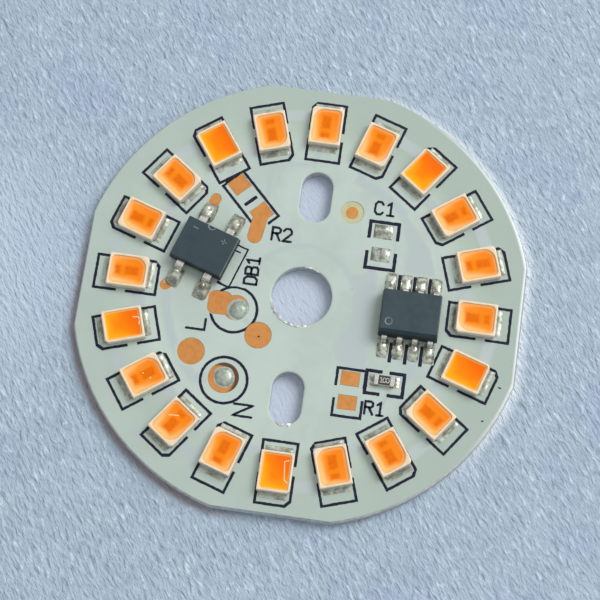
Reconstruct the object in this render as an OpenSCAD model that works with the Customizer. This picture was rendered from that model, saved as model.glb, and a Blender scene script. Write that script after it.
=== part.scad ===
// Driver-on-board LED module: a round metal-core circuit board with a ring of
// LEDs, a bridge rectifier, a driver chip, a setting resistor and bare lands.
// Millimetres, +Z up. The origin is the disc's centre on its bare underside,
// and +Y runs along the line of the two fixing slots.

/* [Board] */
// Diameter of the punched disc
board_d = 38; // [37.6:0.1:44]
// Distance across the four scored flats
across_flats = 36.7; // [36.4:0.1:38]
// Thickness of the aluminium core
plate_t = 0.9; // [0.6:0.05:2]
// Thickness of the insulating layer on the core
insulation_t = 0.1; // [0.05:0.01:0.2]
// Thickness of the copper foil
copper_t = 0.035; // [0.018:0.001:0.05]
// Thickness of the white solder mask, from the insulation up
mask_t = 0.055; // [0.05:0.005:0.1]
// Thickness of the printed ink
ink_t = 0.015; // [0.01:0.005:0.03]
// Radius of the edge that the punch rolls over, bare of coats
edge_roll = 0.15; // [0.05:0.01:0.3]
// Depth of the scored bevel on each flat, from either face
score_depth = 0.28; // [0.1:0.01:0.3]
// How far the coats stay back from a punched hole
hole_pullback = 0.2; // [0.16:0.01:0.24]

/* [Holes] */
// Diameter of the centre hole
hole_d = 5; // [3:0.1:6]
// Width of a fixing slot
slot_w = 2.6; // [2:0.1:3]
// Length of a fixing slot, over its round ends
slot_l = 4.4; // [3.2:0.1:4.8]
// Distance between the middles of the two slots
slot_pitch = 17.4; // [17:0.1:17.8]

/* [LED] */
// Number of LEDs in the ring
led_count = 20; // [16:2:20]
// Radius of the ring through the middles of the LED lands
led_ring_r = 14.72; // [14.6:0.02:15.2]
// Length of a housing, along the radius
led_l = 3.3; // [3:0.05:3.5]
// Width of a housing
led_w = 2.72; // [2.4:0.02:2.8]
// Height of a housing above its seat
led_h = 0.75; // [0.6:0.05:1]
// Cut across the housing's marked corner
led_mark = 0.22; // [0.1:0.02:0.4]
// How far a housing sits toward its marked end
led_slip = 0.18; // [0:0.02:0.2]
// Width of the housing's rim round the window
led_rim = 0.17; // [0.12:0.01:0.25]
// How far the cup walls lean in from the window to the floor
cup_lean = 0.22; // [0.1:0.01:0.24]
// Corner radius of the window on a two-die LED
cup_r_soft = 0.42; // [0.35:0.01:0.5]
// Corner radius of the window on a one-die LED
cup_r_sharp = 0.26; // [0.25:0.01:0.34]
// Cut across the marked corner of a two-die LED's window
cup_cut = 0.3; // [0.1:0.02:0.4]
// How far the phosphor lies below the rim
fill_drop = 0.12; // [0.02:0.02:0.2]
// Thickness of the lead frame under a housing
frame_t = 0.15; // [0.1:0.01:0.25]
// Width of the lead frame
frame_w = 2.2; // [1.8:0.05:2.3]
// How far the lead frame stands out at each end
frame_out = 0.1; // [0.05:0.01:0.2]
// Slit that parts the two halves of the lead frame
frame_slit = 0.25; // [0.15:0.05:0.3]
// Distance of that slit from the middle, away from the marked end
split_off = 0.5; // [0.4:0.02:0.54]
// Width of a die
die_w = 0.62; // [0.4:0.02:0.8]
// Length of the long die
die_long = 1.2; // [0.8:0.05:1.3]
// Length of the short die
die_short = 0.42; // [0.3:0.02:0.5]
// Height of a die
die_h = 0.14; // [0.08:0.01:0.3]
// Space from the slit to the nearest die
die_gap = 0.1; // [0.06:0.01:0.12]
// Length of land that shows beyond each end of the lead frame
led_toe = 0.36; // [0.2:0.02:0.4]
// How far the solder climbs the end of a lead frame
led_climb = 0.2; // [0.1:0.01:0.3]

/* [Bridge rectifier] */
// Middle of the rectifier on the board, along X
bridge_x = -8.5; // [-8.6:0.05:-8.3]
// Middle of the rectifier on the board, along Y
bridge_y = 2.75; // [2.6:0.05:2.85]
// Turn of the rectifier on the board, degrees
bridge_turn = -18; // [-20:1:-16]
// Length of its body
bridge_l = 4.75; // [4.4:0.05:4.9]
// Width of its body
bridge_w = 3.8; // [3.5:0.05:4]
// Height of its body
bridge_h = 1.3; // [1.1:0.05:1.6]
// Span over the tips of its leads
bridge_span = 6.7; // [6.4:0.05:6.8]
// Pitch of its leads
bridge_pitch = 2.54; // [2.3:0.02:2.6]
// Width of its leads
bridge_lead_w = 0.68; // [0.5:0.02:0.8]
// Radius of the half-round notch that marks its DC side
bridge_notch_r = 0.34; // [0.2:0.02:0.5]
// Depth of that notch
bridge_notch_t = 0.08; // [0.04:0.01:0.15]

/* [Driver chip] */
// Middle of the chip on the board, along X
driver_x = 9.1; // [9:0.05:9.1]
// Middle of the chip on the board, along Y
driver_y = -0.62; // [-0.75:0.01:-0.55]
// Length of its body
driver_l = 4.9; // [4.6:0.05:5]
// Width of its body
driver_w = 3.9; // [3.6:0.05:4]
// Height of its body
driver_h = 1.4; // [1.2:0.05:1.6]
// Span over the tips of its leads
driver_span = 6; // [5.8:0.05:6.2]
// Pitch of its leads
driver_pitch = 1.27; // [1.2:0.01:1.3]
// Number of leads on each side
driver_pins = 4; // [3:1:4]
// Width of its leads
driver_lead_w = 0.44; // [0.35:0.01:0.5]
// Width of the bevel along its top edge on the first pin's side
driver_bevel = 0.36; // [0.2:0.02:0.5]
// Diameter of the moulded dimple by the first pin
dimple_d = 0.62; // [0.4:0.02:0.8]
// Depth of that dimple
dimple_t = 0.04; // [0.02:0.01:0.1]

/* [Moulded packages] */
// Draft of the moulded walls above and below their parting line, degrees
draft = 7; // [3:0.5:10]
// Height of a moulded body above the seat of its leads
standoff = 0.1; // [0.05:0.01:0.2]
// Thickness of the leads
lead_t = 0.2; // [0.15:0.01:0.25]
// Length of the foot of a lead
foot_l = 0.62; // [0.5:0.02:0.7]
// Inner radius of the bends in a lead
bend_r = 0.12; // [0.05:0.01:0.15]
// Depth to which a lead runs into its body
lead_embed = 0.45; // [0.2:0.05:0.6]
// Length of land beyond the tip of a lead
land_toe = 0.6; // [0.3:0.05:0.65]
// Length of land behind the heel of a lead
land_heel = 0.35; // [0.2:0.05:0.4]
// Width of land beside a lead
land_side = 0.18; // [0.1:0.01:0.2]
// Height of the solder on a lead's land
joint_h = 0.4; // [0.3:0.02:0.5]

/* [Resistor] */
// Middle of the resistor on the board, along X
resistor_x = 7.7; // [7.6:0.05:7.8]
// Middle of the resistor on the board, along Y
resistor_y = -6.2; // [-6.3:0.05:-6.1]
// Length of the resistor over its caps
resistor_l = 1.65; // [1.5:0.05:1.8]
// Width of the resistor
resistor_w = 0.85; // [0.7:0.05:1]
// Height of the resistor's caps
resistor_h = 0.45; // [0.35:0.05:0.55]
// Length of an end cap
cap_l = 0.32; // [0.2:0.02:0.4]
// Thickness of an end cap's metal
cap_t = 0.04; // [0.02:0.01:0.06]
// Thickness of the black overcoat
coat_t = 0.05; // [0.03:0.01:0.08]
// Gap from the overcoat to each end cap
coat_gap = 0.03; // [0.01:0.01:0.05]
// Length of land beyond each end of the resistor
resistor_toe = 0.4; // [0.3:0.02:0.45]
// How far the solder climbs an end cap
resistor_climb = 0.32; // [0.15:0.01:0.35]

/* [Bare lands] */
// Middle of the unused capacitor lands, along X
spare_c_x = 6; // [5.9:0.05:6.05]
// Middle of the unused capacitor lands, along Y
spare_c_y = 5.45; // [5.4:0.05:5.6]
// Middle of the unused resistor lands beside the resistor, along X
spare_r_x = 4.92; // [4.8:0.02:4.94]
// Middle of the unused resistor lands beside the resistor, along Y
spare_r_y = -7.37; // [-7.4:0.05:-7.3]
// Middle of the slanting resistor lands, along X
slant_x = -5.45; // [-5.5:0.05:-5.4]
// Middle of the slanting resistor lands, along Y
slant_y = 7.8; // [7.75:0.05:7.9]
// Turn of the slanting lands, degrees
slant_turn = -45; // [-47:1:-43]
// Distance between the two lands of a pair beside the chip
pair_pitch = 2; // [1.8:0.05:2.2]
// Length of a bare land, along its part
land_l = 1.15; // [0.9:0.05:1.3]
// Width of a bare land
land_w = 1.5; // [1.2:0.05:1.6]
// Distance between the two slanting lands
slant_pitch = 3.15; // [2.9:0.05:3.3]
// Length of a slanting land, along its part
slant_land_l = 1.35; // [1:0.05:1.5]
// Height of the tin on a coated bare land
tin_h = 0.09; // [0.05:0.01:0.15]
// Diameter of the two round test lands
test_d = 2.2; // [1.6:0.05:2.3]
// Diameter of the copper dot that locates the board
mark_d = 1; // [0.8:0.05:1.2]
// Diameter of the window in the mask round that dot
mark_window = 2; // [1.6:0.05:2.4]

/* [Wire lands] */
// Middle of the live wire's land, along X
live_x = -5.25; // [-5.3:0.05:-5.2]
// Middle of the live wire's land, along Y
live_y = -1.74; // [-1.85:0.01:-1.7]
// Middle of the neutral wire's land, along X
neutral_x = -5.37; // [-5.45:0.01:-5.3]
// Middle of the neutral wire's land, along Y
neutral_y = -7.74; // [-7.85:0.01:-7.7]
// Diameter of the live land
live_d = 2.1; // [1.8:0.05:2.2]
// Diameter of the neutral land
neutral_d = 2.5; // [2.2:0.05:2.6]
// Diameter of the solder on a wire land
bead_d = 1.6; // [1.2:0.05:1.75]
// Height of the solder on a wire land
bead_h = 0.3; // [0.15:0.02:0.5]

/* [Copper runs] */
// Distance of the links between LEDs from the ring through their lands
link_off = 1.23; // [1.1:0.01:1.3]
// Width of a link between two LEDs
link_w = 1.3; // [0.8:0.05:1.4]
// Width of the broad runs
run_w = 1.1; // [0.8:0.05:1.2]
// Width of the narrow runs
run_thin = 0.7; // [0.4:0.05:0.75]
// Width of the run beside the capacitor's lands
run_fine = 0.5; // [0.3:0.05:0.55]
// Radius of the run round the centre hole
hole_run_r = 4.4; // [4.2:0.1:4.6]
// Radius of the runs along the inner ends of the LEDs
rim_run_r = 11.2; // [11.1:0.05:11.3]
// Radius of the run that feeds the first LED, past the upper slot
feed_run_r = 11.55; // [11.5:0.01:11.65]

/* [Print] */
// Width of the fine printed lines
line_w = 0.2; // [0.14:0.01:0.24]
// Width of the heavy printed lines
heavy_w = 0.26; // [0.2:0.01:0.3]
// Space from a land's end to the printed frame round it
frame_room = 0.32; // [0.25:0.01:0.36]
// Space from the resistor's side to its printed bracket
bracket_room = 0.52; // [0.4:0.01:0.55]
// Break between the resistor's two brackets
bracket_break = 0.6; // [0.4:0.05:0.9]
// Width of the printed frame round an LED, between line centres
outline_w = 2.84; // [2.75:0.02:2.9]
// Space from an LED land's end to the line of its frame
outline_room = 0.65; // [0.4:0.01:0.7]
// Break in each long side of an LED's frame
outline_break = 0.8; // [0.4:0.05:1]
// Distance of those breaks from the middle, away from the marked end
break_off = 0.3; // [0:0.05:0.5]
// Cut corner of an LED's frame
outline_cut = 0.45; // [0.3:0.05:0.6]
// Space from the rectifier's plain end to the line printed past it
bridge_line_room = 0.58; // [0.4:0.02:0.7]
// Length of the bars printed between the chip's pins, past the lands
bar_past = 0.15; // [0.1:0.01:0.2]
// Space from the chip's side to those bars
bar_room = 0.1; // [0.05:0.01:0.2]
// Radius of the ring round a wire land
ring_r = 1.93; // [1.85:0.01:2]
// How far the live land's ring lies toward that land's tail
ring_off = 0.2; // [0:0.02:0.3]
// How far the print lies off the copper, along Y
print_dy = -0.15; // [-0.2:0.01:0]

/* [Fits] */
// Gap in the mask round each land
mask_gap = 0.04; // [0.02:0.01:0.08]
// Gap from the print to a window in the mask
ink_gap = 0.04; // [0.02:0.01:0.08]
// Clear height from the print to the underside of a seated part
seat_gap = 0.025; // [0.01:0.005:0.08]
// Margin of bare land round the solder on it
solder_in = 0.03; // [0.01:0.01:0.06]

/* [Hidden] */
$fn = 48;
// Facets of the cups, whose leaning round corners are swept by hulls
cup_fn = 20;
cut_over = 0.5;
// Turn between the points of a curved run, degrees
arc_step = 4;

z_insulation = plate_t;
z_land = z_insulation + insulation_t;
z_copper = z_land + copper_t;
z_mask = z_land + mask_t;
z_seat = z_mask + ink_t + seat_gap;
paste_t = z_seat - z_copper;

led_step = 360 / led_count;
led_end = led_l / 2 + frame_out;
led_land_end = led_end + led_toe;
outline_l = 2 * (led_land_end + outline_room - led_slip);
slit_y = -split_off;

// Share of a moulded body's height that lies below its parting line
part_share = 0.46;
// Distance of the dimple from the edges of the flat top, in its own diameters
dimple_in = 1.05;
test_lands = [[-3.1, -3.8], [-8.35, -5.9]];
mark_at = [3.2, 7.8];
slant_tail_l = 2.1;
slant_tail_w = 1.2;
slant_tail_turn = -53;
bridge_tail_w = 0.85;
bridge_tails = [[0, 1.45, 0], [1, 1.1, -22]];
live_tail = [1.9, 1.95];
live_tail_at = [-1.4, 0.25];
live_tail_r = 0.55;
// Mouth in the slanting pair's box, where its lower land leaves it
slant_mouth_l = 0.75;
slant_mouth_up = 0.05;
// Bends of the copper runs and corners of the pours
feed_bend = [-4, 8];
drain_bend = [10.2, 5.6];
sense_bend = [9.9, -5.2];
spare_bends = [[5.6, -9.2], [7.6, -8.6]];
ground_bend = [-1, 1.2];
ground_pour = [[3.9, 2.6], [4.4, -1.2], [3.1, -3.6], [3.6, -5.3], [6.2, -5.3], [6.2, 3]];
// Ends of the curved runs, degrees
hole_run_ends = [14, 150];
neutral_run_ends = [181, 226];
feed_run_ends = [92.5, 110];
drain_run_start = 46;
drain_run_lap = 4;

LED_NAMES = [for (i = [1:led_count]) str("led_", i < 10 ? "0" : "", i)];

// Every fourth LED holds one large die under a deeper fill; the rest hold two.
function one_die(i) = i % 4 == 2;

function unit(v) = v / norm(v);
function left_of(v) = [-v[1], v[0]];
function polar(r, a) = r * [cos(a), sin(a)];
function turned(v, a) = [v[0] * cos(a) - v[1] * sin(a), v[0] * sin(a) + v[1] * cos(a)];

// Points of the arc of radius r that rounds corner b of the path a, b, c.
function round_corner(a, b, c, r, steps = 6) =
    let (d = unit(a - b), e = unit(c - b), half = acos(d * e) / 2,
         mid = b + unit(d + e) * r / sin(half),
         p = b + d * r / tan(half) - mid,
         turn = sign(cross(b - a, c - b)) * (180 - 2 * half))
    [for (k = [0:steps]) let (w = turn * k / steps)
        mid + turned(p, w)];

// Outline of a strip of thickness t along a path, with mitred bends.
function strip(path, t) =
    let (n = len(path),
         step = [for (k = [1:n - 1]) unit(path[k] - path[k - 1])],
         side = [for (k = [0:n - 1])
             let (before = step[max(k - 1, 0)], after = step[min(k, n - 2)], d = unit(before + after))
             left_of(d) * t / 2 / (d * after)])
    concat([for (k = [0:n - 1]) path[k] - side[k]],
           [for (k = [n - 1:-1:0]) path[k] + side[k]]);

// Points along an arc about the origin, from a0 to a1 degrees.
function arc_path(r, a0, a1) =
    let (n = ceil(abs(a1 - a0) / arc_step))
    [for (k = [0:n]) polar(r, a0 + (a1 - a0) * k / n)];

// Radius of the arc over a chord with the given rise.
function arc_radius(chord, rise) = (chord * chord / 4 + rise * rise) / (2 * rise);

// Direction of LED i from the board's middle, degrees.
function led_angle(i) = 90 - i * led_step;

// Places on the board: a point of the rectifier, the feet of leads, and lands.
function bridge_point(v) = [bridge_x, bridge_y] + turned(v, bridge_turn);
function bridge_foot(sx, sy) =
    bridge_point([sx * bridge_pitch / 2, sy * (bridge_span - foot_l) / 2]);
function driver_foot(k, sy) = [driver_x + (k - (driver_pins - 1) / 2) * driver_pitch,
                               driver_y + sy * (driver_span - foot_l) / 2];
function resistor_land(s) =
    [resistor_x + s * (resistor_l / 2 + (resistor_toe - cap_l) / 2), resistor_y];
function spare_c_land(s) = [spare_c_x, spare_c_y + s * pair_pitch / 2];
function spare_r_land(s) = [spare_r_x, spare_r_y + s * pair_pitch / 2];
function slant_land(s) = [slant_x, slant_y] + turned([s * slant_pitch / 2, 0], slant_turn);
function slant_tail_at(l) = slant_land(1) + turned([l, 0], slant_turn + slant_tail_turn);
function live_at() = [live_x, live_y];
function neutral_at() = [neutral_x, neutral_y];

// Puts a child at LED i, with +Y toward the LED's marked end. Neighbours lie
// end for end, so that the string of LEDs runs out, across, in and across.
module at_led(i) {
    rotate(led_angle(i) - 90)
        translate([0, led_ring_r])
            rotate(i % 2 == 0 ? 0 : 180)
                children();
}

module at_bridge() { translate([bridge_x, bridge_y]) rotate(bridge_turn) children(); }
module at_driver() { translate([driver_x, driver_y]) children(); }
module at_resistor() { translate([resistor_x, resistor_y]) children(); }
module at_slant() { translate([slant_x, slant_y]) rotate(slant_turn) children(); }

// Both rows of leads of a package, each lead with +X outward.
module at_leads(pins, pitch) {
    for (side = [90, 270], k = [0:pins - 1])
        rotate(side) translate([0, (k - (pins - 1) / 2) * pitch]) children();
}

// Flat shapes of the board

module disc_2d(inset) {
    intersection() {
        circle(d = board_d - 2 * inset);
        square(across_flats - 2 * inset, center = true);
    }
}

module slot_2d(grow) {
    straight = slot_l - slot_w;
    square([slot_w + 2 * grow, straight], center = true);
    for (s = [-1, 1]) translate([0, s * straight / 2]) circle(d = slot_w + 2 * grow);
}

module holes_2d(grow) {
    circle(d = hole_d + 2 * grow);
    for (s = [-1, 1]) translate([0, s * slot_pitch / 2]) slot_2d(grow);
}

module rounded_2d(size, r) {
    square([size[0] - 2 * r, size[1]], center = true);
    square([size[0], size[1] - 2 * r], center = true);
    for (x = [-1, 1], y = [-1, 1])
        translate([x * (size[0] / 2 - r), y * (size[1] / 2 - r)]) circle(r = r);
}

// Lands. Each takes the amount by which it grows into its window in the mask.

module led_lands_2d(g) {
    for (half = [[slit_y + frame_slit / 2, led_land_end], [-led_land_end, slit_y - frame_slit / 2]])
        translate([-frame_w / 2 - g, half[0] - g])
            square([frame_w + 2 * g, half[1] - half[0] + 2 * g]);
}

module lead_land_2d(span, w, g) {
    heel = span / 2 - foot_l - land_heel;
    translate([heel - g, -w / 2 - land_side - g])
        square([foot_l + land_heel + land_toe + 2 * g, w + 2 * land_side + 2 * g]);
}

// A strip of land with a round end, out along +X.
module tail_2d(l, w, g) {
    translate([0, -w / 2 - g]) square([l, w + 2 * g]);
    translate([l, 0]) circle(d = w + 2 * g);
}

// Bare copper runs on past the two leads at the rectifier's marked end.
module bridge_tails_2d(g) {
    for (t = bridge_tails) rotate(t[0] == 0 ? 90 : 270)
        translate([bridge_span / 2 - foot_l / 2, (t[0] == 0 ? 1 : -1) * bridge_pitch / 2])
            rotate(t[2]) tail_2d(t[1], bridge_tail_w, g);
}

module resistor_lands_2d(g) {
    inner = resistor_l / 2 - cap_l;
    for (s = [0, 180]) rotate(s)
        translate([inner - g, -resistor_w / 2 - g])
            square([cap_l + resistor_toe + 2 * g, resistor_w + 2 * g]);
}

module pair_lands_2d(g) {
    for (s = [-1, 1]) translate([0, s * pair_pitch / 2])
        square([land_w + 2 * g, land_l + 2 * g], center = true);
}

module slant_lands_2d(g) {
    for (s = [-1, 1]) translate([s * slant_pitch / 2, 0])
        square([slant_land_l + 2 * g, land_w + 2 * g], center = true);
    translate([slant_pitch / 2, 0]) rotate(slant_tail_turn) tail_2d(slant_tail_l, slant_tail_w, g);
}

module live_land_2d(g) {
    circle(d = live_d + 2 * g);
    translate(live_tail_at) rounded_2d(live_tail + [2 * g, 2 * g], live_tail_r + g);
}

module lands_2d(g) {
    for (i = [0:led_count - 1]) at_led(i) translate([0, led_slip]) led_lands_2d(g);
    at_bridge() at_leads(2, bridge_pitch) lead_land_2d(bridge_span, bridge_lead_w, g);
    at_bridge() bridge_tails_2d(g);
    at_driver() at_leads(driver_pins, driver_pitch) lead_land_2d(driver_span, driver_lead_w, g);
    at_resistor() resistor_lands_2d(g);
    translate([spare_c_x, spare_c_y]) pair_lands_2d(g);
    translate([spare_r_x, spare_r_y]) pair_lands_2d(g);
    at_slant() slant_lands_2d(g);
    for (p = test_lands) translate(p) circle(d = test_d + 2 * g);
    translate(live_at()) live_land_2d(g);
    translate(neutral_at()) circle(d = neutral_d + 2 * g);
}

module windows_2d(g) {
    lands_2d(g);
    translate(mark_at) circle(d = mark_window + 2 * (g - mask_gap));
}

// Copper runs under the mask, from land to land.

module run_2d(path, w) { polygon(strip(path, w)); }

// Middle of the inner land of LED i.
function inner_land(i) = polar(led_ring_r - link_off, led_angle(i));

// The string of LEDs: outer ends and inner ends are linked by turns, from the
// second LED round to the first, and the two LEDs at the break are its ends.
module led_links_2d() {
    for (i = [1:led_count - 1]) let (r = led_ring_r + (i % 2 == 1 ? link_off : -link_off))
        run_2d(arc_path(r, led_angle(i), led_angle(i + 1)), link_w);
}

// From the rectifier's positive lead and the slanting pair to the first LED.
module feed_run_2d() {
    run_2d([bridge_foot(1, 1), slant_tail_at(slant_tail_l / 2)], run_thin);
    run_2d(concat([slant_land(1), feed_bend], arc_path(feed_run_r, feed_run_ends[1], feed_run_ends[0]),
                  [inner_land(0)]), run_thin);
    run_2d([slant_land(-1), inner_land(led_count - 2)], run_w);
}

// From the last LED to the chip's upper pins, all but the first.
module drain_pour_2d() {
    land_half = driver_lead_w / 2 + land_side;
    first = driver_foot(1, 1) - [land_half, 0];
    last = driver_foot(driver_pins - 1, 1) + [land_half, 0];
    lap = drain_run_start + drain_run_lap;
    lap_half = run_w / 3;
    run_2d(concat([inner_land(1)], arc_path(rim_run_r, led_angle(1), drain_run_start)), run_w);
    polygon([[first[0], drain_bend[1]], first, last, drain_bend,
             polar(rim_run_r + lap_half, lap), polar(rim_run_r - lap_half, lap)]);
}

// From the rectifier's negative lead round the centre hole to the chip.
module ground_pour_2d() {
    run_2d(concat([bridge_foot(-1, 1), bridge_point(ground_bend)],
                  arc_path(hole_run_r, hole_run_ends[1], hole_run_ends[0])), run_thin);
    polygon(ground_pour);
    foot = (ground_pour[3] + ground_pour[4]) / 2 + [0, run_w];
    head = (ground_pour[0] + ground_pour[5]) / 2 - [0, run_w];
    run_2d([spare_c_land(-1), head], run_w);
    run_2d([foot, spare_r_land(1)], run_w);
    run_2d([foot, resistor_land(-1)], run_thin);
    run_2d([[ground_pour[4][0] - run_w, driver_foot(0, -1)[1]], driver_foot(0, -1)], run_thin);
}

// From the resistors to the chip's last two lower pins.
module sense_run_2d() {
    run_2d([resistor_land(1), sense_bend, driver_foot(driver_pins - 2, -1)], run_w);
    run_2d([driver_foot(driver_pins - 2, -1), driver_foot(driver_pins - 1, -1)], run_thin);
    run_2d(concat([spare_r_land(-1)], spare_bends, [resistor_land(1)]), run_thin);
}

module runs_2d() {
    led_links_2d();
    feed_run_2d();
    drain_pour_2d();
    ground_pour_2d();
    sense_run_2d();
    run_2d([spare_c_land(1), [driver_foot(0, 1)[0], spare_c_y + land_l / 2], driver_foot(0, 1)], run_fine);
    run_2d([test_lands[0], live_at(), live_at() + live_tail_at, bridge_foot(1, -1)], run_thin);
    run_2d(concat([bridge_foot(-1, -1)], arc_path(rim_run_r, neutral_run_ends[0], neutral_run_ends[1]),
                  [neutral_at()]), run_w);
}

// Board

// The punch rolls the upper rim; the flats are snapped along scores in both faces.
module base_plate() {
    r = board_d / 2;
    half = across_flats / 2;
    bevel = edge_roll;
    flat = [[-half + bevel, 0], [half - bevel, 0], [half, score_depth],
            [half, plate_t - score_depth], [half - bevel, plate_t],
            [-half + bevel, plate_t], [-half, plate_t - score_depth], [-half, score_depth]];
    color("#b9bdbf") difference() {
        intersection() {
            union() {
                cylinder(r = r, h = plate_t - edge_roll);
                cylinder(r = r - edge_roll, h = plate_t);
                translate([0, 0, plate_t - edge_roll])
                    rotate_extrude() translate([r - edge_roll, 0]) intersection() {
                        circle(r = edge_roll);
                        square(edge_roll);
                    }
            }
            rotate([90, 0, 0]) linear_extrude(board_d, center = true) polygon(flat);
            rotate([90, 0, 90]) linear_extrude(board_d, center = true) polygon(flat);
        }
        translate([0, 0, -cut_over]) linear_extrude(plate_t + 2 * cut_over) holes_2d(0);
    }
}

module insulation() {
    color("#c9c38f") translate([0, 0, z_insulation]) linear_extrude(insulation_t)
        difference() {
            disc_2d(edge_roll);
            holes_2d(hole_pullback);
        }
}

// One etched foil: the bare lands, and the runs between them under the mask.
module copper_foil() {
    color("#cd8a44") translate([0, 0, z_land]) linear_extrude(copper_t) {
        lands_2d(0);
        runs_2d();
        translate(mark_at) circle(d = mark_d);
    }
}

// The mask lies on the insulation and over the runs, with windows for the lands.
module solder_mask() {
    color("#dfe6df") translate([0, 0, z_land]) difference() {
        linear_extrude(mask_t) difference() {
            disc_2d(edge_roll);
            holes_2d(hole_pullback);
            windows_2d(mask_gap);
        }
        translate([0, 0, -cut_over]) linear_extrude(copper_t + cut_over) runs_2d();
    }
}

// Print

module cut_rect_2d(w, l, cut) {
    polygon([[-w / 2 + cut, l / 2], [w / 2, l / 2], [w / 2, -l / 2],
             [-w / 2, -l / 2], [-w / 2, l / 2 - cut]]);
}

module led_outline_2d() {
    inner_cut = outline_cut - line_w * (sqrt(2) - 1) * sqrt(2) / 2;
    difference() {
        cut_rect_2d(outline_w + line_w, outline_l + line_w, outline_cut);
        cut_rect_2d(outline_w - line_w, outline_l - line_w, inner_cut);
        translate([0, -break_off]) square([2 * outline_w, outline_break], center = true);
    }
}

// A rectangle drawn in lines, its middle at the origin.
module box_2d(w, l, pen) {
    difference() {
        square([w + pen, l + pen], center = true);
        square([w - pen, l - pen], center = true);
    }
}

// Two brackets that hold a pair of lands, open between the lands.
module brackets_2d(pen) {
    difference() {
        box_2d(land_w + 2 * frame_room + pen, pair_pitch + land_l + 2 * frame_room + pen, pen);
        square([2 * land_w + 2, pair_pitch - land_l + pen], center = true);
    }
}

module resistor_brackets_2d() {
    difference() {
        box_2d(resistor_l + 2 * resistor_toe + 2 * frame_room, resistor_w + 2 * bracket_room, heavy_w);
        square([bracket_break, 2 * resistor_w + 4 * bracket_room], center = true);
    }
}

// The slanting pair's box is open where its lower land leaves it.
module slant_box_2d() {
    l = slant_pitch + land_l + 2 * frame_room;
    w = land_w + 2 * frame_room;
    difference() {
        box_2d(l, w, line_w);
        translate([l / 2 - slant_mouth_l, -w / 2 - line_w])
            square([2 * slant_mouth_l + line_w, w / 2 + line_w - slant_mouth_up]);
    }
    square([heavy_w, land_w - heavy_w], center = true);
}

module ring_2d(r) {
    difference() {
        circle(r = r + line_w / 2);
        circle(r = r - line_w / 2);
    }
}

// The rectifier's outline shows only past its plain end.
module bridge_outline_2d() {
    reach = bridge_l / 2 + bridge_line_room;
    difference() {
        translate([0, -bridge_w / 2]) square([reach + line_w, bridge_w]);
        translate([-line_w, -bridge_w / 2 + line_w])
            square([reach + line_w, bridge_w - 2 * line_w]);
        translate([-line_w, -bridge_w]) square([bridge_l / 2 - line_w, 2 * bridge_w]);
    }
}

// Short bars keep neighbouring pins of the chip apart.
module driver_bars_2d() {
    from = driver_w / 2 + bar_room;
    to = driver_span / 2 + land_toe + bar_past;
    for (s = [-1, 1], k = [1:driver_pins - 1])
        translate([(k - driver_pins / 2) * driver_pitch - heavy_w / 2, s > 0 ? from : -to])
            square([heavy_w, to - from]);
}

module print() {
    color("#23263c") translate([0, 0, z_mask]) linear_extrude(ink_t)
        difference() {
            translate([0, print_dy]) {
                for (i = [0:led_count - 1]) at_led(i) led_outline_2d();
                translate([spare_c_x, spare_c_y]) brackets_2d(heavy_w);
                translate([spare_r_x, spare_r_y]) brackets_2d(line_w);
                at_resistor() resistor_brackets_2d();
                at_slant() slant_box_2d();
                at_bridge() bridge_outline_2d();
                at_driver() driver_bars_2d();
                translate(live_at() - [ring_off, 0]) ring_2d(ring_r);
                translate(neutral_at()) ring_2d(ring_r);
            }
            windows_2d(mask_gap + ink_gap);
        }
}

// LEDs

function cup_floor() = frame_t;
// How far the cup's wall has leaned in at height z above the seat.
function lean_at(z) = cup_lean * (led_h - z) / (led_h - cup_floor());

// The cup's space between two heights: a leaning window with round corners, and
// with its marked corner cut on a two-die LED.
module cup(z0, z1, deep) {
    r = deep ? cup_r_sharp : cup_r_soft;
    x = led_w / 2 - led_rim - r;
    y = led_l / 2 - led_rim - r;
    cut = deep ? 0 : cup_cut;
    corners = [[x, y], [x, -y], [-x, -y], [-x, y - cut], [-x + cut, y]];
    hull() for (p = corners)
        translate([p[0], p[1], z0])
            cylinder(r1 = r - lean_at(z0), r2 = r - lean_at(z1), h = z1 - z0, $fn = cup_fn);
}

module frame_halves() {
    for (half = [[slit_y + frame_slit / 2, led_end], [-led_end, slit_y - frame_slit / 2]])
        translate([-frame_w / 2, half[0], 0]) cube([frame_w, half[1] - half[0], frame_t]);
}

module dies(deep) {
    y0 = slit_y + frame_slit / 2 + die_gap;
    y1 = slit_y - frame_slit / 2 - die_gap;
    translate([-die_w / 2, y0, frame_t]) cube([die_w, die_long, die_h]);
    if (!deep) translate([-die_w / 2, y1 - die_short, frame_t]) cube([die_w, die_short, die_h]);
}

module on_seat(i) { at_led(i) translate([0, led_slip, z_seat]) children(); }

module led_housing(i) {
    color("#f6ecda") on_seat(i) difference() {
        linear_extrude(led_h) cut_rect_2d(led_w, led_l, led_mark);
        cup(cup_floor(), led_h, one_die(i));
        frame_halves();
    }
}

module led_phosphor(i) {
    color(one_die(i) ? "#f98f14" : "#f7a14f") on_seat(i) difference() {
        cup(cup_floor(), led_h - fill_drop, one_die(i));
        dies(one_die(i));
    }
}

module led_frames() {
    color("#c8c8c0") for (i = [0:led_count - 1]) on_seat(i) frame_halves();
}

module led_dies() {
    color("#e8a83a") for (i = [0:led_count - 1]) on_seat(i) dies(one_die(i));
}

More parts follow.
